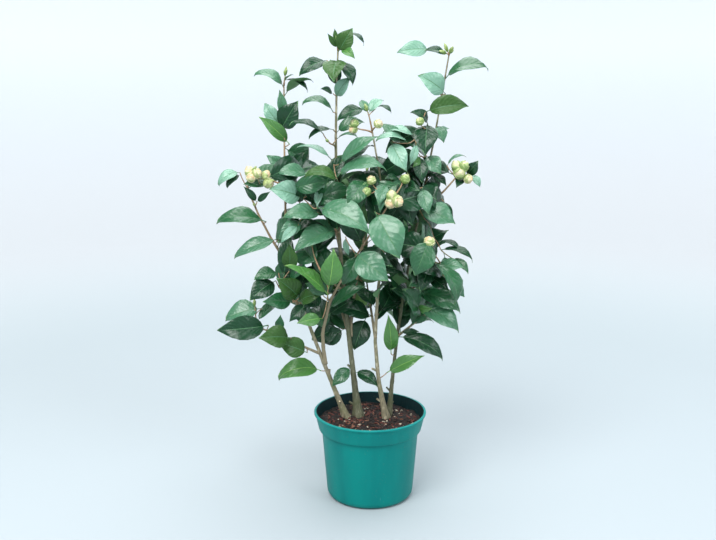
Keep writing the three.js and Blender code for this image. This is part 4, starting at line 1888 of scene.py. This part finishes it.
class Grower:
    """Grows the shoots, leaves and buds of every spray on the limbs.

    Attributes:
        TWIG_RADIUS: Radius of a twig that carries a leaf.
        SHOOT_RADIUS: Radius of a shoot at its foot.
        TWIG_STEP: How far apart the points of a twig are.
        SHORTEST, LONGEST: Least and greatest share of its usual length that a leaf can have.
        CHOICES: How many places are tried for each leaf of the rule.
        REACH: How far from the wood a leaf's foot can be without a twig.
        NEARNESS: How much a distance along each axis counts in finding that.
        FOREMOST: How far forward in its mass a leaf of the rule can have its tip.
        LEAF_BUD, FLOWER_BUD: Shortest and longest bud of each kind.
        BUD_DEPTH, BUD_STEP: How far below its shoot's tip the first flower bud sits, and each next one.
        REAR: How far back, along Y, a leaf no longer turns to the front.
        RISING, FALLING: How steeply a leaf points where it has an upright or a hanging form.
        wood: All the wood grown so far.
        twigs: The centre lines of the twigs and shoots.
        leaves: The leaves' seats, region by region.
        flower_buds: The flower buds' seats.
        leaf_buds: The leaf buds' seats.
    """

    TWIG_RADIUS = 0.0011
    SHOOT_RADIUS = 0.0019
    TWIG_STEP = 0.006
    SHORTEST = 0.62
    LONGEST = 1.14
    CHOICES = 10
    REACH = 0.006
    NEARNESS = (1.0, 0.35, 1.0)
    FOREMOST = 0.3
    LEAF_BUD = (0.013, 0.018)
    FLOWER_BUD = (0.0175, 0.0225)
    BUD_DEPTH = 0.0015
    BUD_STEP = 0.0045
    REAR = 0.04
    RISING = 0.45
    FALLING = -0.3

    def __init__(self, limbs: dict[str, Line]) -> None:
        """Starts from the limbs.

        Args:
            limbs: The centre line of each limb, by its CAD node.
        """
        self.wood = Wood(limbs.values())
        self.twigs: list[Line] = []
        self.leaves: dict[Region, list[Seat]] = {region: [] for region in Region}
        self.flower_buds: list[Seat] = []
        self.leaf_buds: list[Seat] = []

    def grow(self, sprays: Sequence[Spray]) -> None:
        """Grows all shoots first, then the leading leaves, and then the rest.

        Args:
            sprays: The sprays.
        """
        plots = []
        for spray in sprays:
            low, high = (np.array(corner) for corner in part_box(spray.mass))
            dice = random.Random(f"{SEED} {spray.mass}")
            plots.append(Plot(spray, (low + high) / 2, (high - low) / 2, dice))
        for plot in plots:
            for shoot in plot.spray.shoots:
                self._grow_shoot(plot, shoot)
        for plot in plots:
            for leaf in plot.spray.leaves:
                self._grow_leaf(plot, leaf)
        for plot in plots:
            self._fill(plot)

    def _grow_twig(
        self, tip: np.ndarray, radius: float, dice: random.Random, seat: int | None = None
    ) -> Line:
        """Grows a twig to a point, in a curve that leaves its parent's way and turns up.

        Args:
            tip: Where it ends.
            radius: How thick it is at its foot.
            dice: The spray's own chance.
            seat: The wood's point that it leaves, or None for the best one.

        Returns:
            Its centre line.
        """
        seat = self.wood.seat_for_twig(tip) if seat is None else seat
        start = self.wood.points[seat]
        way = tip - start
        reach = float(np.linalg.norm(way))
        leave = unit(unit(way) + 0.55 * self.wood.headings[seat]) * reach
        arrive = unit(unit(way) + 0.5 * UP + 0.2 * any_vector(dice)) * reach
        share = np.linspace(0, 1, max(5, round(reach / self.TWIG_STEP)))[:, None]
        points = (
            (2 * share**3 - 3 * share**2 + 1) * start
            + (share**3 - 2 * share**2 + share) * leave
            + (3 * share**2 - 2 * share**3) * tip
            + (share**3 - share**2) * arrive
        )
        foot = min(radius, 0.85 * float(self.wood.radii[seat])) if seat not in self.wood.ends else radius
        line = Line(points, np.linspace(foot, 0.8 * self.TWIG_RADIUS, len(points)))
        self.twigs.append(line)
        self.wood.add(line)
        return line

    def _grow_shoot(self, plot: Plot, shoot: Shoot) -> None:
        """Grows a shoot with its buds.

        Args:
            plot: The spray's plot.
            shoot: The shoot.
        """
        tip, dice = plot.spot(shoot.tip), plot.dice
        line = self._grow_twig(tip, self.SHOOT_RADIUS, dice)
        heading = unit(line.points[-1] - line.points[-3])
        facing = unit(np.cross(heading, FRONT))
        size = dice.uniform(*self.LEAF_BUD) * shoot.size
        self.leaf_buds.append(Seat(dice.randrange(2), tip, heading, facing, size, 0))
        for number in range(shoot.flowers):
            angle = number * GOLDEN_ANGLE + dice.uniform(0, 0.8)
            across = facing * math.cos(angle) + np.cross(heading, facing) * math.sin(angle)
            lean = 0.35 if shoot.flowers == 1 else 0.9
            way = unit(heading * 0.7 + across * lean + 0.25 * UP + 0.25 * FRONT)
            at = tip - heading * (self.BUD_DEPTH + self.BUD_STEP * number)
            length = dice.uniform(*self.FLOWER_BUD) * shoot.size
            self.flower_buds.append(Seat(number % 2, at, way, facing, length, dice.choice((0, 0, 1))))

    def _grow_leaf(self, plot: Plot, leaf: Leaf) -> None:
        """Grows a leaf, and a twig to carry it where the wood is too far.

        Args:
            plot: The spray's plot.
            leaf: The leaf.
        """
        tip, dice = plot.spot(leaf.tip), plot.dice
        if leaf.base is None:
            length = plot.spray.length * dice.uniform(0.92, 1.06)
            seat = self.wood.seat_for_leaf(tip, length)
            way = tip - self.wood.points[seat]
            distance = float(np.linalg.norm(way))
            if distance > self.LONGEST * length:
                base = tip - unit(way + 0.01 * UP) * length
                self._grow_twig(base, self.TWIG_RADIUS, dice, seat)
                seat = self.wood.ends[-1]
            elif distance < self.SHORTEST * length:
                tip = self.wood.points[seat] + unit(way) * self.SHORTEST * length
        else:
            base = plot.spot(leaf.base)
            apart = np.linalg.norm((self.wood.points - base) * self.NEARNESS, axis=1)
            seat = int(np.argmin(apart))
            if apart[seat] > self.REACH:
                self._grow_twig(base, self.TWIG_RADIUS, dice)
                seat = self.wood.ends[-1]
        start = self.wood.points[seat]
        self.wood.crowd(seat)
        way = unit(tip - start)
        form = leaf.form
        if form is None:
            forms = LEVEL_FORMS
            if way[2] > self.RISING:
                forms = UPRIGHT_FORMS
            elif way[2] < self.FALLING:
                forms = HANGING_FORMS
            form = dice.choice(forms)
        if leaf.face is None:
            facing = self._facing(start, way, self.wood.headings[seat], dice)
        else:
            facing = np.array(leaf.face)
        size = float(np.linalg.norm(tip - start))
        start = start + way * self.wood.radii[seat] * 0.5
        self.leaves[plot.spray.region].append(Seat(form.value, start, way, facing, size, leaf.tone.value))

    def _facing(self, at: np.ndarray, way: np.ndarray, stem: np.ndarray, dice: random.Random) -> np.ndarray:
        """Finds the way that a leaf's upper side turns: up its stem, to the light and outwards.

        Args:
            at: Where its foot is.
            way: The way that it points.
            stem: The heading of the wood that carries it.
            dice: The spray's own chance.

        Returns:
            The way that it faces.
        """
        outward = unit(at * (1, 1, 0))
        chance = any_vector(dice)
        wanted = 0.3 * stem + 0.3 * UP + 0.35 * outward + 0.18 * chance
        if at[1] < self.REAR:
            wanted = wanted + 0.7 * FRONT
        face = wanted - way * float(wanted @ way)
        if np.linalg.norm(face) < 0.25:
            face = face - 0.5 * (outward - way * float(outward @ way))
        return unit(face)

    def _fill(self, plot: Plot) -> None:
        """Adds a spray's other leaves, each with its tip well apart from the tips before it.

        Args:
            plot: The spray's plot.
        """
        spray, dice = plot.spray, plot.dice
        tips = [np.array(leaf.tip) for leaf in spray.leaves]
        for _ in range(spray.more):
            best = None
            widest = -1.0
            for _ in range(self.CHOICES):
                spot = unit(any_vector(dice)) * dice.uniform(0.6, 1.0)
                if spray.leaves:
                    spot[1] = max(spot[1], self.FOREMOST)
                gap = min((float(np.linalg.norm(spot - tip)) for tip in tips), default=1.0)
                if gap > widest:
                    best = spot
                    widest = gap
            tips.append(best)
            self._grow_leaf(plot, Leaf(best, plot.tone()))


@dataclass
class Foliage:
    """The leaves, region by region, with the finish of each side and tone."""

    DARK_UNDER = SoftFinish("leaf_under", colour(92, 134, 86))
    FRESH_UNDER = SoftFinish("leaf_under_fresh", colour(118, 160, 84))
    DARK_RIB = SoftFinish("leaf_rib", colour(64, 112, 70), 0.45)
    FRESH_RIB = SoftFinish("leaf_rib_fresh", colour(124, 170, 82), 0.45)
    BLADES = {
        Tone.DARK: BladeFinish("leaf_dark", colour(18, 60, 34), 0.3, 0.3, 0.25),
        Tone.GREEN: BladeFinish("leaf_green", colour(32, 88, 50)),
        Tone.FRESH: BladeFinish("leaf_fresh", colour(68, 120, 54), 0.38),
        # The mint and silver blades carry painted sheen: paler colours that stand for reflected light.
        Tone.MINT: BladeFinish("leaf_mint", colour(64, 114, 82)),
        Tone.SILVER: BladeFinish("leaf_silver", colour(112, 156, 132), 0.38),
        Tone.OLIVE: BladeFinish("leaf_olive", colour(52, 88, 38), 0.42, 0.2, 0.2),
    }

    def build(self, leaves: dict[Region, list[Seat]]) -> None:
        """Builds one piece for each region of the crown.

        Args:
            leaves: The seats of the leaves of each region.
        """
        under, fresh_under, rib, fresh_rib = (
            finish.material() for finish in (self.DARK_UNDER, self.FRESH_UNDER, self.DARK_RIB, self.FRESH_RIB)
        )
        materials = []
        for tone in Tone:
            fresh = tone is Tone.FRESH
            blade = self.BLADES[tone].material()
            materials += [blade, fresh_under if fresh else under, fresh_rib if fresh else rib]
        forms = form_collection("leaf_form", (LEAF_FORMS[form].shape() for form in Form))
        for region, seats in leaves.items():
            piece = deal(region.value, seats, forms, materials, len(Side))
            masses = [spray.mass for spray in SPRAYS if spray.region is region]
            settle(piece, "foliage", *masses)
            LOG.info("%s: %d leaves", piece.name, len(seats))
        drop_collection(forms)


@dataclass
class Twigs:
    """The twigs, joined into one piece.

    Attributes:
        sides: How many sides a twig has.
        ring_step: Length of twig between two rings.
        knot: How much it thickens at a knot, as a share of its radius.
        knot_step: Twice the length of twig between two knots.
    """

    sides: int = 7
    ring_step: float = 0.005
    knot: float = 0.16
    knot_step: float = 0.017

    FINISH = BarkFinish(
        "twig_bark",
        colour(160, 128, 98),
        colour(118, 90, 68),
        colour(188, 162, 128),
        colour(116, 122, 76),
        bloom_share=0.6,
    )

    def build(self, twigs: Sequence[Line]) -> None:
        """Builds the twigs.

        Args:
            twigs: Their centre lines.
        """
        shape = Shape()
        for number, twig in enumerate(twigs):
            line = twig.even(self.ring_step)
            knots = 1 + self.knot * np.cos(2 * math.pi * line.lengths() / self.knot_step + number) ** 8
            shape.skin(tube_rows(line.points, line.radii * knots, self.sides))
        settle(shape.piece("twigs", [self.FINISH.material()]), "twig_bark")


@dataclass
class Buds:
    """The round flower buds and the pointed leaf buds, each a core with scales that hug it.

    Attributes:
        SCALE_ROWS: How many rows of points a scale has.
        SCALE_COLUMNS: How many points across each.
        CORE_ROWS: How many rows of points the core has.
        CORE_SIDES: How many sides it has.
        SPREAD: Half the angle that a scale covers.
        TOP: How far up the last scale and the core go, and the core's share of the bud's radius.
    """

    SCALE_ROWS = 5
    SCALE_COLUMNS = 4
    CORE_ROWS = 8
    CORE_SIDES = 9
    SPREAD = 1.15
    TOP = 0.97
    PALE = SoftFinish("bud_scale", colour(158, 172, 110), 0.42, 0.004)
    EDGE = SoftFinish("bud_scale_edge", colour(200, 194, 154), 0.45, 0.004)
    PEACH = SoftFinish("bud_tip", colour(216, 186, 146), 0.42, 0.004)
    GREEN = SoftFinish("bud_green", colour(120, 146, 80), 0.42, 0.004)
    HOOD = SoftFinish("bud_green_edge", colour(156, 172, 112), 0.45, 0.004)

    @staticmethod
    def _outline(share: float, fatness: float) -> float:
        """Radius of a bud one metre long, at a share of its length."""
        return fatness * math.sin(math.pi * min(max(share, 0.0), 1.0) ** 0.82) ** 0.62

    def _scale(self, reach: float, spread: float, turn: float, proud: float, fatness: float) -> Shape:
        """One scale that hugs the bud, with its free edge a little proud.

        Args:
            reach: How far up the bud it goes, as a share of its length.
            spread: Half the angle that it covers.
            turn: Where it sits round the bud.
            proud: How far it stands off the bud.
            fatness: The bud's greatest radius.

        Returns:
            The scale, closed on all sides.
        """
        rings = []
        for row in range(self.SCALE_ROWS):
            up = row / (self.SCALE_ROWS - 1)
            height = 0.02 + (reach - 0.02) * up
            narrowing = math.cos(0.5 * math.pi * up**2.2) ** 0.6 if up < 1 else 0.06
            outer = []
            inner = []
            for column in range(self.SCALE_COLUMNS):
                side = 2 * column / (self.SCALE_COLUMNS - 1) - 1
                angle = turn + spread * narrowing * side
                across = np.array((math.cos(angle), math.sin(angle), 0.0))
                radius = self._outline(height, fatness) + proud * (0.35 + 0.65 * up)
                outer.append(across * radius + UP * (height + 0.02 * up * (1 - side**2)))
                inner.append(across * (radius - proud * 0.9) + UP * height)
            rings.append(outer + inner[::-1])
        shape = Shape()
        shape.skin(np.array(rings), (0,))
        edge = (self.SCALE_ROWS - 2) * 2 * self.SCALE_COLUMNS
        shape.parts[edge:] = [1] * (len(shape.parts) - edge)
        return shape

    def _bud(self, scales: int, fatness: float, start: float) -> Shape:
        """Builds a bud one metre long along X, from its foot at the origin.

        Args:
            scales: How many scales it has.
            fatness: Its greatest radius.
            start: How far up the lowest scale goes.

        Returns:
            The bud.
        """
        shape = Shape()
        rows = np.linspace(0.0, 1.0, self.CORE_ROWS)
        core = np.stack([rows * 0, rows * 0, rows * self.TOP], axis=1)
        radii = np.array([self._outline(row, fatness) * self.TOP for row in rows]) + 0.004
        shape.skin(tube_rows(core, radii, self.CORE_SIDES), (2,))
        for number in range(scales):
            reach = start + (self.TOP - start) * (number / (scales - 1)) ** 0.8
            turn = number * GOLDEN_ANGLE
            proud = 0.075 - 0.045 * number / scales
            shape.add(self._scale(reach, self.SPREAD, turn, proud, fatness))
        return shape.turned(Matrix.Rotation(math.radians(90), 4, "Y"))

    def build(self, flower_seats: Sequence[Seat], leaf_seats: Sequence[Seat]) -> None:
        """Builds the two kinds of bud.

        Args:
            flower_seats: Where the flower buds sit.
            leaf_seats: Where the leaf buds sit.
        """
        pale, edge, peach, green, hood = (
            finish.material() for finish in (self.PALE, self.EDGE, self.PEACH, self.GREEN, self.HOOD)
        )
        flowers = form_collection("flower_bud_form", (self._bud(7, 0.44, 0.3), self._bud(6, 0.4, 0.36)))
        piece = deal("flower_buds", flower_seats, flowers, (pale, edge, peach, green, hood, edge), 3)
        settle(piece, "foliage")
        drop_collection(flowers)
        pointed = form_collection("leaf_bud_form", (self._bud(4, 0.17, 0.45), self._bud(3, 0.14, 0.5)))
        piece = deal("leaf_buds", leaf_seats, pointed, (green, hood, pale), 3)
        settle(piece, "foliage")
        drop_collection(pointed)


# ---- Pot and potting mix ----


@dataclass
class Pot:
    """The nursery pot: a rounded foot, a straight wall, a stepped band and a beaded rim.

    Attributes:
        foot_radius: Radius of the flat underside.
        foot_round: Radius of the rounding above it.
        band_height: From the rim down to the shoulder.
        band_taper: How much narrower the band is at its foot.
        shoulder: How far the band stands out of the body.
        lip_height: Height of the bead.
        lip_proud: How far the bead stands out of the band.
        wall: Thickness of the wall.
        slope: Half the height of the shoulder's slope, and how far its roundings cut in.
        lip_slope: Height of the slope under the bead.
        lip_cuts: How far the bead's roundings cut in, from its foot up and over to the inside.
        eye: Radius of the small face in the middle of the underside.
        sides: How many sides the round has.
        corner_steps: How many points a rounded corner has.
    """

    foot_radius: float = 0.074
    foot_round: float = 0.013
    band_height: float = 0.036
    band_taper: float = 0.007
    shoulder: float = 0.006
    lip_height: float = 0.005
    lip_proud: float = 0.0025
    wall: float = 0.0022
    slope: float = 0.001
    lip_slope: float = 0.0012
    lip_cuts: tuple[float, float, float, float] = (0.0006, 0.0008, 0.0016, 0.0007)
    eye: float = 0.0005
    sides: int = 144
    corner_steps: int = 5

    def _rounded(self, corners: Sequence[Triple]) -> list[tuple[float, float]]:
        """Rounds the corners of an outline.

        Args:
            corners: The radius and height of each corner, and how far its rounding cuts in.

        Returns:
            The outline's points.
        """
        outline = []
        for index, (radius, height, cut) in enumerate(corners):
            here = np.array((radius, height))
            if cut == 0:
                outline.append((radius, height))
                continue
            before = here + unit(np.array(corners[index - 1][:2]) - here) * cut
            after = here + unit(np.array(corners[index + 1][:2]) - here) * cut
            for share in np.linspace(0, 1, self.corner_steps):
                point = (1 - share) ** 2 * before + 2 * share * (1 - share) * here + share**2 * after
                outline.append(tuple(point))
        return outline

    def build(self) -> None:
        """Builds the pot to the size of its CAD node."""
        low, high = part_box("pot")
        rim = (high.x - low.x) / 2
        top = high.z
        shoulder = top - self.band_height
        band_top = rim - self.lip_proud
        band_foot = band_top - self.band_taper
        body = band_foot - self.shoulder
        base = self.foot_radius + self.foot_round
        wall, slope, lip_foot = self.wall, self.slope, top - self.lip_height
        under_lip, over_lip, rim_edge, inner_edge = self.lip_cuts
        corners = [
            (self.eye, 0.0, 0),
            (base, 0.0, self.foot_round),
            (body, shoulder - slope, slope),
            (band_foot, shoulder + slope, slope),
            (band_top, lip_foot, under_lip),
            (rim, lip_foot + self.lip_slope, over_lip),
            (rim, top, rim_edge),
            (band_top - wall, top, inner_edge),
            (band_foot - wall, shoulder + slope + wall, slope),
            (body - wall, shoulder - slope + wall, slope),
            (base - wall, wall, self.foot_round - wall),
            (self.eye, wall, 0),
        ]
        outline = np.array(self._rounded(corners))
        angles = np.linspace(0, 2 * math.pi, self.sides, endpoint=False)
        rows = np.stack(
            (
                outline[:, :1] * np.cos(angles),
                outline[:, :1] * np.sin(angles),
                np.repeat(outline[:, 1:], self.sides, axis=1),
            ),
            axis=2,
        )
        shape = Shape()
        shape.skin(rows)
        # The outline has one point for the first corner and then corner_steps for each rounded one.
        lip = 1 + 5 * self.corner_steps
        inside = lip + self.corner_steps + 1
        # Part 1, the inner wall, takes painted shade, and part 2, the top of the rim, takes a painted
        # highlight.
        for row in range(lip, len(rows) - 1):
            part = 1 if row >= inside else 2
            shape.parts[row * self.sides : (row + 1) * self.sides] = [part] * self.sides
        finishes = (
            PotFinish(),
            # Painted shade: the inner wall is the same teal plastic, drawn near-black for the shade inside
            # the pot.
            PotFinish("pot_inside", colour(10, 42, 44), colour(8, 34, 36), colour(36, 74, 72)),
            # Painted highlight: the top of the rim gets a paler teal for the light it catches.
            PotFinish("pot_lip", colour(30, 142, 136), colour(20, 132, 128)),
        )
        settle(shape.piece("pot_shell", [finish.material() for finish in finishes]), "pot", "pot")


@dataclass
class PottingMix:
    """The potting mix, with bark chips dealt over it.

    Attributes:
        relief: Height of its lumps.
        depth: How deep the built part of it goes.
        chip_density: Chips for each square metre.
        chip_size: Size of the largest chip.
        chip_seed: The chance by which chips fall.
        chip_forms: How many forms of chip there are.
        chip_sides: How many sides a chip has.
        rings: How many rings of points the top has.
        sides: How many points a ring has.
        bed_share: How far out chips fall, as a share of the mix's radius.
        bed_rings: How many rings of points the bed of the chips has.
        CHIP_LAYERS: Height and scale of each layer of a chip.
        CHIP_SHADES: The finishes that chips have.
        CHIP_DEAL: The number of a finish for each draw, which makes some rarer.
    """

    relief: float = 0.0028
    depth: float = 0.012
    chip_density: float = 15000.0
    chip_size: float = 0.013
    chip_seed: int = 11
    chip_forms: int = 5
    chip_sides: int = 7
    rings: int = 40
    sides: int = 96
    bed_share: float = 0.93
    bed_rings: int = 12

    CHIP_LAYERS = ((-0.09, 0.86), (0.0, 1.0), (0.08, 0.8))
    CHIP_SHADES = (
        SoftFinish("chip_dark", colour(32, 24, 21), 0.8, 0.003, 0.0006),
        SoftFinish("chip_brown", colour(56, 39, 32), 0.8, 0.003, 0.0006),
        SoftFinish("chip_red", colour(92, 46, 38), 0.75, 0.003, 0.0006),
        SoftFinish("chip_tan", colour(124, 82, 64), 0.8, 0.003, 0.0006),
        SoftFinish("chip_pale", colour(176, 166, 146), 0.8, 0.003, 0.0004),
    )
    CHIP_DEAL = (0, 0, 0, 0, 0, 1, 1, 1, 1, 1, 2, 2, 2, 2, 3, 3, 4)

    def _surface(self, reach: float, level: float, rings: int) -> np.ndarray:
        """Finds the lumpy top.

        Args:
            reach: Its radius.
            level: Its height.
            rings: How many rings of points it has.

        Returns:
            The rings, from the middle out, as rings by sides by 3.
        """
        rows = []
        for ring in range(rings + 1):
            radius = reach * max(ring / rings, 0.004)
            row = []
            for side in range(self.sides):
                angle = 2 * math.pi * side / self.sides
                x = radius * math.cos(angle)
                y = radius * math.sin(angle)
                lumps = noise.fractal(Vector((x * 60, y * 60, 3.7)), 0.8, 2.1, 4)
                row.append((x, y, level - self.relief * 0.6 + self.relief * lumps))
            rows.append(row)
        return np.array(rows)

    def _chip(self, dice: random.Random) -> Shape:
        """Builds one flake of bark, about a metre long.

        Args:
            dice: The chance of its form.

        Returns:
            The flake.
        """
        width = dice.uniform(0.3, 0.62)
        lengths = [dice.uniform(0.75, 1.1) for _ in range(self.chip_sides)]
        rows = []
        for height, scale in self.CHIP_LAYERS:
            row = []
            for side, reach in enumerate(lengths):
                angle = 2 * math.pi * side / self.chip_sides
                x = 0.5 * reach * scale * math.cos(angle)
                y = 0.5 * width * reach * scale * math.sin(angle)
                row.append((x, y, height + 0.12 * x * x + dice.uniform(-0.02, 0.02)))
            rows.append(row)
        shape = Shape()
        shape.skin(np.array(rows))
        return shape

    def build(self) -> None:
        """Builds the mix and its chips."""
        low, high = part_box("soil")
        reach = (high.x - low.x) / 2
        top = self._surface(reach, high.z, self.rings)
        foot = top[-1] * (0.97, 0.97, 0.0) + np.array((0.0, 0.0, high.z - self.depth))
        shape = Shape()
        shape.skin(np.concatenate((top, foot[None]))[::-1])
        settle(shape.piece("mix_surface", [MixFinish().material()]), "soil", "soil")
        bed = Shape()
        bed.skin(self._surface(reach * self.bed_share, high.z, self.bed_rings)[::-1])
        settle(self._deal_chips(bed), "soil")

    def _deal_chips(self, bed: Shape) -> bpy.types.Object:
        """Deals the chips over a bed by Geometry Nodes.

        Args:
            bed: The top of the mix, as far out as chips fall.

        Returns:
            The chips, a plain mesh.
        """
        dice = random.Random(self.chip_seed)
        forms = form_collection("chip_form", (self._chip(dice) for _ in range(self.chip_forms)))
        materials = [finish.material() for finish in self.CHIP_SHADES]
        piece = bed.piece("bark_chips", materials[:1])
        inputs = {
            "Forms": forms,
            "Density": self.chip_density,
            "Size": self.chip_size,
            "Seed": self.chip_seed,
        }
        tree = Tree("deal_chips", inputs)
        seed = tree.input("Seed")
        spots = tree.bench.wire(
            "GeometryNodeDistributePointsOnFaces",
            None,
            {"Mesh": tree.input("Geometry"), "Density": tree.input("Density"), "Seed": seed},
        )
        kind = tree.chance("INT", 0, len(self.CHIP_DEAL) - 1, seed)
        spots = tree.bench.wire(
            "GeometryNodeStoreNamedAttribute",
            {"data_type": "INT", "domain": "POINT"},
            {"Geometry": spots, "Name": "kind", "Value": kind},
        )
        form = tree.chance("INT", 0, self.chip_forms - 1, seed + 1.0)
        tilt = tree.chance("FLOAT_VECTOR", (-0.6, -0.6, 0.0), (0.6, 0.6, 6.28), seed + 2.0)
        size = tree.chance("FLOAT", 0.3, 1.0, seed + 3.0)
        instances = tree.strew(spots, form, tilt, size * tree.input("Size"))
        dealt = [materials[shade] for shade in self.CHIP_DEAL]
        tree.finish(instances, tree.attribute("kind", "INT"), dealt)
        tree.apply(piece, ("kind", PART))
        drop_collection(forms)
        return piece


# ---- Studio ----


@dataclass(frozen=True)
class Lamp:
    """A soft square light.

    Attributes:
        name: What it is called.
        at: Where it hangs.
        size: Its side.
        power: Its power in watts.
        shade: Its colour.
    """

    name: str
    at: Triple
    size: float
    power: float
    shade: Colour

    def hang(self, target: Triple) -> None:
        """Hangs the light.

        Args:
            target: Where it shines.
        """
        lamp = bpy.data.lights.new(self.name, "AREA")
        lamp.size = self.size
        lamp.energy = self.power
        lamp.color = self.shade[:3]
        holder = bpy.data.objects.new(self.name, lamp)
        holder.location = self.at
        holder.rotation_euler = (Vector(target) - Vector(self.at)).to_track_quat("-Z", "Y").to_euler()
        bpy.context.scene.collection.objects.link(holder)


@dataclass
class Studio:
    """A pale floor that turns up into a round backdrop, soft lights and the camera.

    Attributes:
        floor_reach: Radius of the level part of the floor.
        sweep: Radius of the curve up from it.
        wall_height: Height of the backdrop.
        eye: Where the camera stands.
        tilt: How far it looks down, in degrees.
        lens: Its focal length, in millimetres.
        film: Width of its picture behind the lens, in millimetres.
        target: What the lights shine on, the middle of the shrub.
        sky: Colour of the light from all round.
        sky_strength: Strength of that light.
        sides: How many sides the backdrop's round has.
        sweep_steps: How many points the curve up to it has.
    """

    floor_reach: float = 3.2
    sweep: float = 1.2
    wall_height: float = 2.8
    eye: Triple = (-0.0245, -1.6404, 0.796)
    tilt: float = 11.34
    lens: float = 42.79
    film: float = 36.0
    target: Triple = (0.0, 0.0, 0.5)
    sky: Colour = colour(226, 238, 245)
    sky_strength: float = 0.3
    sides: int = 96
    sweep_steps: int = 24

    LAMPS = (
        Lamp("key_light", (-0.9, -1.6, 2.5), 1.6, 84.0, colour(255, 255, 255)),
        Lamp("fill_light", (1.8, -1.6, 1.9), 1.2, 30.0, colour(244, 250, 255)),
        Lamp("top_light", (0.2, 0.6, 3.0), 2.6, 92.0, colour(250, 252, 255)),
    )

    def build(self) -> None:
        """Builds the floor, the lights and the camera."""
        self._floor()
        self._sky()
        for lamp in self.LAMPS:
            lamp.hang(self.target)
        self._camera()

    def _floor(self) -> None:
        """The floor and its backdrop, in one sweep all round."""
        outline = [(0.01, 0.0), (self.floor_reach, 0.0)]
        for share in np.linspace(0, 1, self.sweep_steps)[1:]:
            angle = share * math.pi / 2
            reach = self.floor_reach + self.sweep * math.sin(angle)
            outline.append((reach, self.sweep * (1 - math.cos(angle))))
        outline.append((self.floor_reach + self.sweep, self.wall_height))
        turns = [2 * math.pi * side / self.sides for side in range(self.sides)]
        rows = [
            [(radius * math.cos(turn), radius * math.sin(turn), height) for turn in turns]
            for radius, height in reversed(outline)
        ]
        shape = Shape()
        shape.skin(np.array(rows), caps=False)
        shape.piece("floor", [FloorFinish().material()])

    def _sky(self) -> None:
        """Pale light from all round."""
        world = bpy.data.worlds.new("studio_sky")
        world.use_nodes = True
        world.node_tree.nodes["Background"].inputs["Color"].default_value = self.sky
        world.node_tree.nodes["Background"].inputs["Strength"].default_value = self.sky_strength
        bpy.context.scene.world = world

    def _camera(self) -> None:
        """Sets up the camera."""
        camera = bpy.data.cameras.new("camera")
        camera.sensor_width = self.film
        camera.lens = self.lens
        holder = bpy.data.objects.new("camera", camera)
        holder.location = self.eye
        holder.rotation_euler = (math.radians(90 - self.tilt), 0, 0)
        bpy.context.scene.collection.objects.link(holder)
        bpy.context.scene.camera = holder
        bpy.context.scene.view_settings.view_transform = "Standard"


def main() -> None:
    """Builds every part of the shrub, in order."""
    logging.basicConfig(level=logging.INFO, format="%(name)s: %(message)s")
    Studio().build()
    Pot().build()
    PottingMix().build()
    limbs = Limbs()
    limbs.build()
    grower = Grower(limbs.lines)
    grower.grow(SPRAYS)
    Twigs().build(grower.twigs)
    Foliage().build(grower.leaves)
    Buds().build(grower.flower_buds, grower.leaf_buds)


if __name__ == "__main__":
    main()
